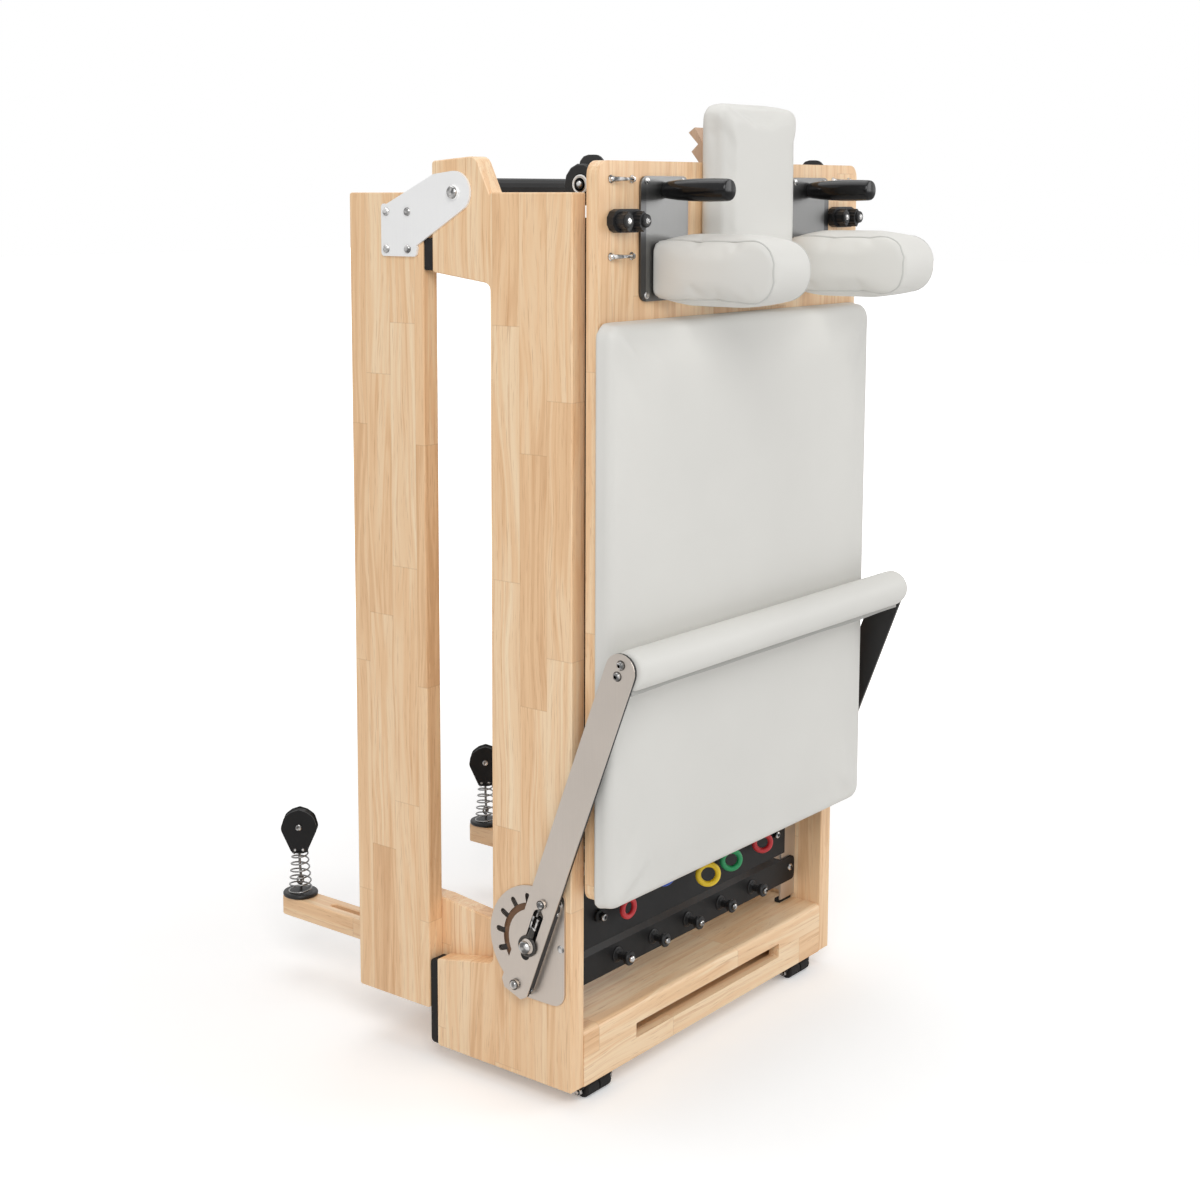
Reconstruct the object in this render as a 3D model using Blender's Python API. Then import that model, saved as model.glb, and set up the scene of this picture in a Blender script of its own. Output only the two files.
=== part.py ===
"""Folding pilates reformer, standing folded on its foot end.

Metres, +Z up. Inside the root empty, Y = 0 is the front plane of the foot rails (the
padded side faces -Y), Z = 0 is the underside of the wood and X = 0 the centre plane.
The root empty lifts everything onto the floor and centres the model over the origin.
"""
import math

import bmesh
import bpy
from mathutils import Matrix, Vector

# Clearances
GAP = 0.0003
RUNNING_GAP = 0.0005

# Wooden frame, two halves of equal length that fold together
RAIL_LENGTH = 1.200
FRAME_WIDTH = 0.664
RAIL_THICKNESS = 0.028
RAIL_DEPTH = 0.138
RAIL_EDGE = 0.003
LEG_DEPTH = 0.104
LEG_HEIGHT = 0.128
LEG_SLOPE = 0.020
LEG_PAD = 0.0139
LEG_PAD_CORNER = 0.006
LUG_DROP = 0.106
LUG_RISE = 0.0475
LUG_SLOPE = 0.013
HEAD_END_RISE = 0.051
HEAD_LEG_HEIGHT = 0.156
HEAD_LEG_SLOPE = 0.012
HEAD_LEG_THICKNESS = 0.028
END_BOARD = 0.017

# Foot platform
PLATFORM_HEIGHT = 0.0785
PLATFORM_DEPTH = 0.134
PLATFORM_WALL = 0.018
PLATFORM_EDGE = 0.008
BASE_BOARD_DEPTH = 0.235
HAND_SLOT_WIDTH = 0.370
HAND_SLOT_HEIGHT = 0.0215
HAND_SLOT_BOTTOM = 0.028

# Floor contact
FOOT_HEIGHT = 0.027
FOOT_RADIUS = 0.022
FOOT_INSET = 0.085
FOOT_Y = 0.200
ROLLER_RADIUS = 0.0118
ROLLER_LENGTH = 0.028
ROLLER_INSET = 0.044
ROLLER_Y = 0.0176
ROLLER_EAR = 0.003
ROLLER_EAR_GAP = 0.003

# Fold joint
TUBE_RADIUS = 0.019
HINGE_PLATE = 0.0035
HINGE_PLATE_LENGTH = 0.074
HINGE_BOLT_RADIUS = 0.010
HINGE_NOSE = 0.028
HINGE_PLATE_TOP = 0.008
HINGE_PLATE_FOOT = 0.086
HINGE_PLATE_NECK = 0.073
HINGE_PLATE_SET = 0.010
HINGE_PLATE_NECK_SET = 0.007
HINGE_SHOULDER_OUT = 0.036
HINGE_SHOULDER_UP = 0.024
HINGE_PLATE_CORNER = 0.005

# Tracks and gear bar
TRACK_WALL = 0.003
TRACK_FLANGE = 0.040
TRACK_WEB = 0.045
TRACK_Y = 0.048
TRACK_START = 0.0855
GEAR_BAR_BOTTOM = 0.114
GEAR_BAR_HEIGHT = 0.0385
GEAR_BAR_SHEET = 0.0035
GEAR_BAR_REACH = 0.070
GEAR_BAR_END = 0.007
GEAR_POST_INSET = 0.117
GEAR_POST_PITCH = (FRAME_WIDTH - 2 * GEAR_POST_INSET) / 5
GEAR_POST_LENGTH = 0.019
GEAR_POST_RADIUS = 0.0065
GEAR_POST_RISE = 0.0205
SPRING_COUNT = 5

# Carriage
CARRIAGE_INSET = 0.0135
CARRIAGE_WIDTH = FRAME_WIDTH - 2 * CARRIAGE_INSET
CARRIAGE_BOARD = 0.019
CARRIAGE_CLEARANCE = 0.012
CARRIAGE_BOTTOM = 0.268
CARRIAGE_LENGTH = 0.972
CARRIAGE_CORNER = 0.018
PAD_THICKNESS = 0.034
PAD_LENGTH = 0.771
PAD_OVERHANG = 0.004
PAD_CORNER = 0.022
WHEEL_RADIUS = 0.027
WHEEL_WIDTH = 0.018
WHEEL_INSET = 0.014
WHEEL_TOP_Z = 1.210
WHEEL_LOW_Z = 0.300
WHEEL_BRACKET = 0.003
WHEEL_BRACKET_TAB = 0.0165

# Springs
SPRING_WIRE = 0.0024
SPRING_COIL = 0.0095
SPRING_CURLS = 5
SPRING_BODY = 0.150
SPRING_Y = 0.025
RING_RADIUS = 0.0133
RING_TUBE = 0.0032
RING_Z = 0.203
SPRING_BAR_BOTTOM = 0.166
SPRING_BAR_TOP = 0.262
SPRING_BAR_INSET = 0.070
SPRING_BAR_WIDTH = FRAME_WIDTH - 2 * SPRING_BAR_INSET

# Headrest
HEADREST_INSET = 0.237
HEADREST_WIDTH = FRAME_WIDTH - 2 * HEADREST_INSET
HEADREST_LENGTH = 0.273
HEADREST_BOTTOM = 1.045
HEADREST_PAD = 0.038
HEADREST_BOARD = 0.012
PROP_WIDTH = 0.060
PROP_THICKNESS = 0.016

# Shoulder rests
SHOULDER_PAD_INSET = 0.167
SHOULDER_PAD_X = FRAME_WIDTH / 2 - SHOULDER_PAD_INSET
SHOULDER_PAD_WIDTH = 0.100
SHOULDER_PAD_HEIGHT = 0.088
SHOULDER_PAD_LENGTH = 0.186
SHOULDER_PAD_Z = 1.100
BRACKET_SHEET = 0.003
BRACKET_WIDTH = 0.106
BRACKET_HEIGHT = 0.162
HANDLE_INSET = 0.148
HANDLE_X = FRAME_WIDTH / 2 - HANDLE_INSET
HANDLE_Z = 1.203
HANDLE_LENGTH = 0.112
HANDLE_ROOT = 0.0108
HANDLE_END = 0.0145

# Rope cleats on the carriage
CLEAT_INSET = 0.064
CLEAT_X = FRAME_WIDTH / 2 - CLEAT_INSET
CLEAT_Z = 1.164
CLEAT_LENGTH = 0.068
CLEAT_WIDTH = 0.030
CLEAT_BASE = 0.010
CAM_SPREAD = 0.039
CAM_RADIUS = 0.0125
CAM_HEIGHT = 0.012
CAM_TEETH = 7

# Footbar
BAR_PIVOT_Y = 0.060
BAR_PIVOT_Z = 0.199
BAR_TILT = math.radians(20.7)
BAR_LENGTH = 0.4308
BAR_ARM_WIDTH = 0.0463
BAR_ARM_SHEET = 0.005
BAR_ROLL_RADIUS = 0.027
BAR_ROLL_SHIFT = 0.0065
RATCHET_SHEET = 0.003
RATCHET_RADIUS = 0.0785
RATCHET_FRONT = 0.051
RATCHET_BOTTOM = 0.0805
RATCHET_FLAT = 0.038
RATCHET_CLIP = 0.020
RATCHET_CORNER = 0.009
RATCHET_NOTCHES = 7
RATCHET_PITCH = math.radians(24.6)
NOTCH_RADIUS = 0.064
PIN_RADIUS = 0.00375
PIN_LIFT = 0.0130
ARC_INNER = 0.0457
ARC_OUTER = 0.0548
HUB_SHEET = 0.0025
LINER = 0.006

# Risers with rope pulleys
RISER_INSET = 0.1086
RISER_X = FRAME_WIDTH / 2 - RISER_INSET
RISER_WIDTH = 0.042
RISER_THICKNESS = 0.0305
RISER_START = 0.300
RISER_END = 0.655
RISER_SLOT = 0.011
RISER_SLOT_START = 0.330
RISER_SLOT_END = 0.563
KNOB_Y = 0.345
KNOB_RADIUS = 0.019
KNOB_HEIGHT = 0.024
PULLEY_Y = 0.633
CUP_RADIUS = 0.027
CUP_HEIGHT = 0.009
PULLEY_SPRING_HEIGHT = 0.068
PULLEY_SPRING_BASE = 0.019
PULLEY_SPRING_TOP = 0.0115
PULLEY_SPRING_WIRE = 0.003
PULLEY_SPRING_TURNS = 5
BLOCK_WIDTH = 0.058
BLOCK_HEIGHT = 0.075
CHEEK_SHEET = 0.0028
SHEAVE_RADIUS = 0.0265
SHEAVE_WIDTH = 0.014
BLOCK_TURN = math.radians(-51.0)

# Derived places
HALF_WIDTH = FRAME_WIDTH / 2
INNER_X = HALF_WIDTH - RAIL_THICKNESS
LEG_END = RAIL_DEPTH + LEG_DEPTH
HEAD_FRONT = LEG_END + LEG_PAD + 2 * GAP
HEAD_BACK = HEAD_FRONT + RAIL_DEPTH
PIVOT_Y = HEAD_BACK / 2
PIVOT_Z = RAIL_LENGTH + GAP
BOARD_FRONT = -CARRIAGE_CLEARANCE - CARRIAGE_BOARD
PAD_BACK = BOARD_FRONT - GAP
PAD_FRONT = PAD_BACK - PAD_THICKNESS


# Materials

def material(name, color, roughness, metallic=0.0, coat=0.0):
    """A Principled surface, made once and shared by pieces of the same stuff."""
    found = bpy.data.materials.get(name)
    if found:
        return found
    made = bpy.data.materials.new(name)
    made.use_nodes = True
    shader = made.node_tree.nodes["Principled BSDF"]
    shader.inputs["Base Color"].default_value = (*color, 1.0)
    shader.inputs["Roughness"].default_value = roughness
    shader.inputs["Metallic"].default_value = metallic
    shader.inputs["Coat Weight"].default_value = coat
    made.diffuse_color = (*color, 1.0)
    return made


def wood():
    return material("lacquered_rubberwood", (0.69, 0.47, 0.27), 0.42, coat=0.2)


def vinyl():
    return material("grey_white_vinyl", (0.72, 0.71, 0.67), 0.55)


def steel():
    return material("brushed_steel", (0.62, 0.60, 0.58), 0.34, 1.0)


def bright_steel():
    return material("bright_steel", (0.75, 0.75, 0.75), 0.18, 1.0)


def black_steel():
    return material("black_powder_coat", (0.015, 0.015, 0.016), 0.45)


def aluminium():
    return material("aluminium", (0.66, 0.64, 0.61), 0.35, 1.0)


def rubber():
    return material("black_rubber", (0.02, 0.02, 0.02), 0.75)


def black_plastic():
    return material("black_plastic", (0.02, 0.02, 0.022), 0.35)


def gloss_plastic():
    return material("gloss_black_grip", (0.01, 0.01, 0.012), 0.12, coat=0.6)


def spring_steel():
    return material("spring_steel", (0.45, 0.45, 0.46), 0.28, 1.0)


# Modelling helpers

PLANES = {
    "X": lambda u, v: Vector((0.0, u, v)),
    "Y": lambda u, v: Vector((u, 0.0, v)),
    "Z": lambda u, v: Vector((u, v, 0.0)),
}
NORMALS = {"X": Vector((1, 0, 0)), "Y": Vector((0, 1, 0)), "Z": Vector((0, 0, 1))}


def arc(center, radius, start, end, steps):
    """Points on an arc, angles in radians, both ends included."""
    points = []
    for i in range(steps + 1):
        a = start + (end - start) * i / steps
        points.append((center[0] + radius * math.cos(a), center[1] + radius * math.sin(a)))
    return points


def rounded(corners, steps=4):
    """An outline from corners (u, v, radius); a corner with a radius becomes an arc."""
    points = []
    count = len(corners)
    for i, (u, v, radius) in enumerate(corners):
        here = Vector((u, v))
        if radius <= 0:
            points.append((u, v))
            continue
        back = (Vector(corners[i - 1][:2]) - here).normalized()
        ahead = (Vector(corners[(i + 1) % count][:2]) - here).normalized()
        half = back.angle(ahead) / 2
        center = here + (back + ahead).normalized() * (radius / math.sin(half))
        first = here + back * (radius / math.tan(half)) - center
        turn = first.angle_signed(here + ahead * (radius / math.tan(half)) - center)
        start = math.atan2(first.y, first.x)
        points += arc(center, radius, start, start - turn, steps)
    return points


def rectangle(width, height, radius=0.0, at=(0.0, 0.0), steps=4):
    u, v = width / 2, height / 2
    corners = [(-u, -v), (u, -v), (u, v), (-u, v)]
    return rounded([(at[0] + a, at[1] + b, radius) for a, b in corners], steps)


def stadium(length, width, at=(0.0, 0.0), steps=5):
    """A slot outline lying along u."""
    reach = length / 2 - width / 2
    right = arc((at[0] + reach, at[1]), width / 2, -math.pi / 2, math.pi / 2, steps)
    left = arc((at[0] - reach, at[1]), width / 2, math.pi / 2, 3 * math.pi / 2, steps)
    return right + left


def circle(radius, at=(0.0, 0.0), steps=24):
    return arc(at, radius, 0, 2 * math.pi * (steps - 1) / steps, steps - 1)


def prism(outline, start, end, axis):
    """A closed solid: the outline carried along an axis from start to end."""
    bm = bmesh.new()
    base = [bm.verts.new(PLANES[axis](u, v) + NORMALS[axis] * start) for u, v in outline]
    face = bm.faces.new(base)
    moved = bmesh.ops.extrude_face_region(bm, geom=[face])["geom"]
    verts = [item for item in moved if isinstance(item, bmesh.types.BMVert)]
    bmesh.ops.translate(bm, verts=verts, vec=NORMALS[axis] * (end - start))
    bmesh.ops.recalc_face_normals(bm, faces=bm.faces)
    return bm


def box(low, high):
    bm = bmesh.new()
    size = Vector(high) - Vector(low)
    center = (Vector(high) + Vector(low)) / 2
    bmesh.ops.create_cube(bm, size=1.0, matrix=Matrix.Translation(center) @ Matrix.Diagonal((*size, 1.0)))
    return bm


def lathe(profile, axis="Z", steps=24, center=(0.0, 0.0, 0.0)):
    """A turned solid; the profile is (radius, height) from one end on the axis to the other."""
    bm = bmesh.new()
    side = {"X": Vector((0, 1, 0)), "Y": Vector((1, 0, 0)), "Z": Vector((1, 0, 0))}[axis]
    line = NORMALS[axis]
    verts = [bm.verts.new(side * radius + line * height) for radius, height in profile]
    edges = [bm.edges.new(pair) for pair in zip(verts, verts[1:])]
    bmesh.ops.spin(
        bm, geom=verts + edges, cent=(0, 0, 0), axis=line, angle=2 * math.pi, steps=steps, use_merge=True
    )
    bmesh.ops.remove_doubles(bm, verts=bm.verts, dist=1e-6)
    bmesh.ops.recalc_face_normals(bm, faces=bm.faces)
    bmesh.ops.translate(bm, verts=bm.verts, vec=Vector(center))
    return bm


def ring_profile(inner, outer, low, high, chamfer=0.0):
    """A closed section for a turned ring."""
    return [
        (inner, low), (outer - chamfer, low), (outer, low + chamfer),
        (outer, high - chamfer), (outer - chamfer, high), (inner, high), (inner, low),
    ]


def tube_along(points, radius, resolution, cyclic=False):
    """A bevelled curve turned into a mesh, with filled ends."""
    curve = bpy.data.curves.new("route", "CURVE")
    curve.dimensions = "3D"
    curve.bevel_depth = radius
    curve.bevel_resolution = resolution
    curve.use_fill_caps = not cyclic
    spline = curve.splines.new("POLY")
    spline.points.add(len(points) - 1)
    for target, point in zip(spline.points, points):
        target.co = (*point, 1.0)
    spline.use_cyclic_u = cyclic
    holder = bpy.data.objects.new("route", curve)
    bpy.context.scene.collection.objects.link(holder)
    bpy.context.view_layer.update()
    mesh = bpy.data.meshes.new_from_object(holder)
    bpy.data.objects.remove(holder)
    bm = bmesh.new()
    bm.from_mesh(mesh)
    bmesh.ops.remove_doubles(bm, verts=bm.verts, dist=1e-6)
    bmesh.ops.recalc_face_normals(bm, faces=bm.faces)
    return bm


def moved(bm, offset):
    bmesh.ops.translate(bm, verts=bm.verts, vec=Vector(offset))
    return bm


def turned(bm, angle, axis, center=(0.0, 0.0, 0.0)):
    bmesh.ops.rotate(bm, verts=bm.verts, cent=Vector(center), matrix=Matrix.Rotation(angle, 3, axis))
    return bm


def mirrored(bm):
    """The same piece for the other side of the centre plane."""
    bmesh.ops.scale(bm, verts=bm.verts, vec=(-1, 1, 1))
    bmesh.ops.reverse_faces(bm, faces=bm.faces)
    return bm


def on_side(bm, side):
    """side -1 is the side that the piece is drawn for, 1 the other."""
    return mirrored(bm) if side > 0 else bm


def origin_of(holder):
    """Where an object or an empty stands in the root's frame."""
    place = Vector((0.0, 0.0, 0.0))
    while holder is not None and holder.name != "reformer":
        place += holder.location
        holder = holder.parent
    return place


def empty(name, parent, at):
    holder = bpy.data.objects.new(name, None)
    bpy.context.scene.collection.objects.link(holder)
    holder.parent = parent
    holder.location = Vector(at) - origin_of(parent)
    return holder


def piece(name, bm, surface, parent, at=None, bevel=0.0, segments=2, angle=30.0):
    """One solid under its parent; its origin goes to `at`, in the root's frame."""
    base = origin_of(parent)
    place = Vector(at) if at is not None else base
    bmesh.ops.translate(bm, verts=bm.verts, vec=-place)
    mesh = bpy.data.meshes.new(name)
    bm.to_mesh(mesh)
    bm.free()
    mesh.materials.append(surface)
    made = bpy.data.objects.new(name, mesh)
    bpy.context.scene.collection.objects.link(made)
    made.parent = parent
    made.location = place - base
    mesh.shade_smooth()
    mesh.set_sharp_from_angle(angle=math.radians(angle))
    if bevel:
        soften(made, bevel, segments)
    return made


def soften(made, width, segments=2, limit=35.0):
    bevel = made.modifiers.new("edges", "BEVEL")
    bevel.width = width
    bevel.segments = segments
    bevel.limit_method = "ANGLE"
    bevel.angle_limit = math.radians(limit)
    bevel.use_clamp_overlap = True
    return bevel


def combine(made, bm, operation):
    """Cuts a shape out of an object, or fuses one to it; the shape stays as a hidden guide."""
    count = sum(1 for modifier in made.modifiers if modifier.type == "BOOLEAN")
    place = origin_of(made)
    bmesh.ops.translate(bm, verts=bm.verts, vec=-place)
    mesh = bpy.data.meshes.new(f"{made.name}_guide_{count}")
    bm.to_mesh(mesh)
    bm.free()
    guide = bpy.data.objects.new(mesh.name, mesh)
    bpy.context.scene.collection.objects.link(guide)
    guide.parent = made
    guide.hide_render = True
    guide.display_type = "WIRE"
    boolean = made.modifiers.new(mesh.name, "BOOLEAN")
    boolean.operation = operation
    boolean.solver = "EXACT"
    boolean.object = guide
    return made


def cut(made, *shapes):
    for bm in shapes:
        combine(made, bm, "DIFFERENCE")
    return made


def fuse(made, *shapes):
    for bm in shapes:
        combine(made, bm, "UNION")
    return made


SIDES = {"left": -1, "right": 1}


# Wooden frame, foot half

def foot_rail_outline():
    """Side view of a foot rail: leg at the bottom, rail, hinge lug at the top."""
    lug_top = RAIL_LENGTH + LUG_RISE
    lug_low = RAIL_LENGTH - LUG_DROP
    end = LEG_END - 0.002
    return rounded([
        (0, 0, 0),
        (LEG_END, 0, 0.004),
        (LEG_END, LEG_HEIGHT, 0.004),
        (RAIL_DEPTH, LEG_HEIGHT + LEG_SLOPE, 0.010),
        (RAIL_DEPTH, lug_low - LUG_SLOPE, 0.010),
        (end, lug_low, 0.004),
        (end, lug_top - 0.006, 0.005),
        (RAIL_DEPTH + 0.024, lug_top, 0.014),
        (RAIL_DEPTH + 0.003, RAIL_LENGTH + 0.004, 0),
        (RAIL_DEPTH, RAIL_LENGTH - 0.002, 0),
        (RAIL_DEPTH - 0.002, RAIL_LENGTH, 0),
        (0, RAIL_LENGTH, 0.003),
    ], 3)


def foot_rail(name, side, root):
    bm = prism(foot_rail_outline(), -HALF_WIDTH, -INNER_X, "X")
    return piece(name, on_side(bm, side), wood(), root, bevel=RAIL_EDGE, segments=1)


def platform(root):
    """A box beam with a hand slot in its front, and the base board behind it."""
    width = INNER_X - GAP
    front = [
        (0, 0, 0), (PLATFORM_DEPTH, 0, 0), (PLATFORM_DEPTH, PLATFORM_HEIGHT, 0.002),
        (0, PLATFORM_HEIGHT, PLATFORM_EDGE),
    ]
    made = piece("platform", prism(rounded(front), -width, width, "X"), wood(), root)
    base = box((-width, PLATFORM_DEPTH / 2, 0), (width, BASE_BOARD_DEPTH, PLATFORM_WALL))
    hollow = box(
        (-width + PLATFORM_WALL, PLATFORM_WALL, PLATFORM_WALL),
        (width - PLATFORM_WALL, PLATFORM_DEPTH - PLATFORM_WALL, PLATFORM_HEIGHT - PLATFORM_WALL),
    )
    slot = prism(
        rectangle(HAND_SLOT_WIDTH, HAND_SLOT_HEIGHT, 0.002,
                  (0, HAND_SLOT_BOTTOM + HAND_SLOT_HEIGHT / 2)),
        -0.01, PLATFORM_WALL + 0.01, "Y",
    )
    fuse(made, base)
    cut(made, hollow, slot)
    for side in SIDES.values():
        foot = lathe([(0, -FOOT_HEIGHT), (FOOT_RADIUS - 0.002, -FOOT_HEIGHT), (FOOT_RADIUS, -FOOT_HEIGHT + 0.003),
                      (FOOT_RADIUS - 0.004, 0.001), (0, 0.001)], steps=12,
                     center=(side * (INNER_X - FOOT_INSET), FOOT_Y, 0))
        fuse(made, foot)
        for edge in (-1, 1):
            x = side * (INNER_X - ROLLER_INSET) + edge * (ROLLER_LENGTH + ROLLER_EAR_GAP)
            ear = prism(
                rounded([(ROLLER_Y - 0.007, 0.001, 0), (ROLLER_Y - 0.007, -0.015, 0.0065),
                         (ROLLER_Y + 0.007, -0.015, 0.0065), (ROLLER_Y + 0.007, 0.001, 0)]),
                x - ROLLER_EAR / 2, x + ROLLER_EAR / 2, "X",
            )
            fuse(made, ear)
    return made


def transport_roller(name, side, holder):
    """Twin black rollers on one pin, at the front edge of the floor side."""
    x = side * (INNER_X - ROLLER_INSET)
    half = ROLLER_LENGTH
    groove = 0.0015
    stub = half + ROLLER_EAR_GAP - ROLLER_EAR / 2 - GAP
    profile = [
        (0, -stub), (0.004, -stub), (0.004, -half + 0.0008), (ROLLER_RADIUS - 0.002, -half + 0.0008), (ROLLER_RADIUS, -half + 0.003),
        (ROLLER_RADIUS, -groove), (ROLLER_RADIUS - 0.003, -groove), (ROLLER_RADIUS - 0.003, groove),
        (ROLLER_RADIUS, groove), (ROLLER_RADIUS, half - 0.003), (ROLLER_RADIUS - 0.002, half - 0.0008),
        (0.004, half - 0.0008), (0.004, stub), (0, stub),
    ]
    bm = lathe(profile, "X", 12, (x, ROLLER_Y, ROLLER_RADIUS - FOOT_HEIGHT))
    return piece(name, bm, rubber(), holder)


def leg_pad(name, side, root):
    outline = rounded([
        (LEG_END + GAP, 0.001, 0.001), (LEG_END + LEG_PAD + GAP, 0.001, LEG_PAD_CORNER),
        (LEG_END + LEG_PAD + GAP, LEG_HEIGHT - 0.003, LEG_PAD_CORNER), (LEG_END + GAP, LEG_HEIGHT - 0.003, 0.001),
    ], 3)
    bm = prism(outline, -HALF_WIDTH + 0.002, -INNER_X - 0.002, "X")
    return piece(name, on_side(bm, side), rubber(), root, bevel=0.001, segments=1)


def hinge_tube(root):
    """The cross tube that joins the two lugs on the fold axis."""
    reach = INNER_X - GAP
    bore = TUBE_RADIUS - 0.002
    profile = ring_profile(bore, TUBE_RADIUS, -reach, reach)
    return piece("hinge_tube", lathe(profile, "X", 18, (0, PIVOT_Y, PIVOT_Z)), black_steel(), root)


def track_outline(side):
    """Angle section in plan: a web on the rail's inner face and the flange the wheels ride on."""
    wall = side * (INNER_X - GAP)
    lip = wall - side * TRACK_FLANGE
    inner = wall - side * TRACK_WALL
    return [
        (lip, TRACK_Y), (wall, TRACK_Y), (wall, TRACK_Y + TRACK_WEB), (inner, TRACK_Y + TRACK_WEB),
        (inner, TRACK_Y + TRACK_WALL), (lip, TRACK_Y + TRACK_WALL),
    ]


def track(name, side, root):
    """Rail for the carriage wheels, with a rubber stop block fused to its flange."""
    made = piece(name, prism(track_outline(side), TRACK_START, RAIL_LENGTH, "Z"), aluminium(), root)
    mid = side * (INNER_X - GAP - TRACK_FLANGE / 2)
    top = WHEEL_LOW_Z - WHEEL_RADIUS - 0.004
    stop = box((mid - 0.008, TRACK_Y - 0.020, top - 0.030), (mid + 0.008, TRACK_Y + 0.001, top))
    return fuse(made, stop)


def gear_bar(root):
    """Black steel angle across the foot end with one spool post for each spring."""
    z0 = GEAR_BAR_BOTTOM
    z1 = z0 + GEAR_BAR_HEIGHT
    back = TRACK_Y - GAP
    front = back - GEAR_BAR_SHEET
    end = INNER_X - GEAR_BAR_END
    sheet = prism(rectangle(2 * end, GEAR_BAR_HEIGHT, 0.008, (0, (z0 + z1) / 2), 3), front, back, "Y")
    made = piece("gear_bar", sheet, black_steel(), root)
    narrow = INNER_X - TRACK_FLANGE - 0.002
    flange = box((-narrow, front + 0.001, z1 - GEAR_BAR_SHEET), (narrow, TRACK_Y + GEAR_BAR_REACH, z1))
    fuse(made, flange)
    for i in range(SPRING_COUNT):
        x = (i - (SPRING_COUNT - 1) / 2) * GEAR_POST_PITCH
        fuse(made, gear_post(x, front))
    for side in SIDES.values():
        head = lathe([(0, 0.001), (0.006, 0.001), (0.006, -0.0015), (0, -0.0045)], "Y", 8,
                     (side * (end - 0.013), front, z0 + GEAR_POST_RISE))
        fuse(made, head)
    return made


def gear_post(x, front):
    """A spool: flange at the bar, waist for the ring, collar and a domed screw head."""
    r = GEAR_POST_RADIUS
    reach = GEAR_POST_LENGTH
    profile = [
        (0, 0.001), (r + 0.003, 0.001), (r + 0.003, -0.003), (r - 0.001, -0.005), (r - 0.001, -reach + 0.006),
        (r + 0.002, -reach + 0.003), (r + 0.002, -reach), (r - 0.001, -reach - 0.001), (0, -reach - 0.0045),
    ]
    return lathe(profile, "Y", 8, (x, front, GEAR_BAR_BOTTOM + GEAR_POST_RISE))


# Wooden frame, head half, drawn folded behind the foot half

def head_rail(name, side, holder):
    """Plain rail with its wheel track fused to the inner face."""
    outline = rounded([
        (HEAD_FRONT, HEAD_END_RISE, 0.003), (HEAD_BACK, HEAD_END_RISE, 0.003),
        (HEAD_BACK, RAIL_LENGTH, 0.003), (HEAD_FRONT, RAIL_LENGTH, 0.002),
    ], 2)
    made = piece(name, on_side(prism(outline, -HALF_WIDTH, -INNER_X, "X"), side), wood(), holder,
                 bevel=RAIL_EDGE)
    face = 2 * PIVOT_Y - TRACK_Y
    wall = side * INNER_X
    into = wall + side * 0.001
    lip = wall - side * (TRACK_FLANGE + GAP)
    inner = wall - side * TRACK_WALL
    angle = [
        (lip, face), (into, face), (into, face - TRACK_WEB), (inner, face - TRACK_WEB),
        (inner, face - TRACK_WALL), (lip, face - TRACK_WALL),
    ]
    start = HEAD_END_RISE + HEAD_LEG_HEIGHT + 0.010
    return fuse(made, prism(angle, start, RAIL_LENGTH - 0.001, "Z"))


def head_end_frame(holder):
    """End board of the head half with the two legs that stand on the floor unfolded."""
    width = INNER_X - GAP
    z0 = HEAD_END_RISE
    made = piece("head_end_frame", box((-width, HEAD_FRONT, z0), (width, HEAD_BACK - 0.001, z0 + END_BOARD)),
                 wood(), holder)
    reach = 2 * PIVOT_Y - (LEG_END + GAP + LEG_PAD)
    top = z0 + HEAD_LEG_HEIGHT
    leg = rounded([
        (reach, z0, 0.004), (HEAD_BACK - 0.050, z0, 0), (HEAD_BACK - 0.050, top, 0.010),
        (HEAD_FRONT, top, 0), (reach, top - HEAD_LEG_SLOPE, 0.004),
    ])
    for side in SIDES.values():
        bm = prism(leg, -width, -width + HEAD_LEG_THICKNESS, "X")
        fuse(made, on_side(bm, side))
    soften(made, 0.002, 1)
    return made


def hinge_plate(name, side, holder):
    """Steel plate on the head rail whose nose turns on the bolt through the foot rail's lug."""
    far = HEAD_FRONT + HINGE_PLATE_LENGTH
    nose = arc((PIVOT_Y, PIVOT_Z), HINGE_NOSE, math.radians(225), math.radians(85), 12)
    outline = rounded([
        (far, RAIL_LENGTH - HINGE_PLATE_TOP, HINGE_PLATE_CORNER),
        (far, RAIL_LENGTH - HINGE_PLATE_FOOT, HINGE_PLATE_CORNER),
        (HEAD_FRONT + HINGE_PLATE_SET, RAIL_LENGTH - HINGE_PLATE_FOOT, HINGE_PLATE_CORNER),
        (HEAD_FRONT + HINGE_PLATE_NECK_SET, RAIL_LENGTH - HINGE_PLATE_NECK, HINGE_PLATE_CORNER),
    ]) + nose + [(PIVOT_Y + HINGE_SHOULDER_OUT, PIVOT_Z + HINGE_SHOULDER_UP)]
    outer = -HALF_WIDTH - GAP - HINGE_PLATE
    made = piece(name, on_side(prism(outline, outer, -HALF_WIDTH - GAP, "X"), side), steel(), holder)
    bolt = lathe([
        (0, outer - 0.005), (HINGE_BOLT_RADIUS - 0.003, outer - 0.005), (HINGE_BOLT_RADIUS, outer - 0.002),
        (HINGE_BOLT_RADIUS, outer + 0.001), (0.006, outer + 0.001), (0.006, -INNER_X + 0.010),
        (0, -INNER_X + 0.010),
    ], "X", 12, (0, PIVOT_Y, PIVOT_Z))
    return fuse(made, on_side(bolt, side))


def lug_bore(side):
    """Hole for the hinge bolt through a foot rail's lug."""
    bm = prism(circle(0.006 + GAP, (PIVOT_Y, PIVOT_Z), 16), -HALF_WIDTH - 0.01, -INNER_X + 0.01, "X")
    return on_side(bm, side)


# Footbar and its ratchet

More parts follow.
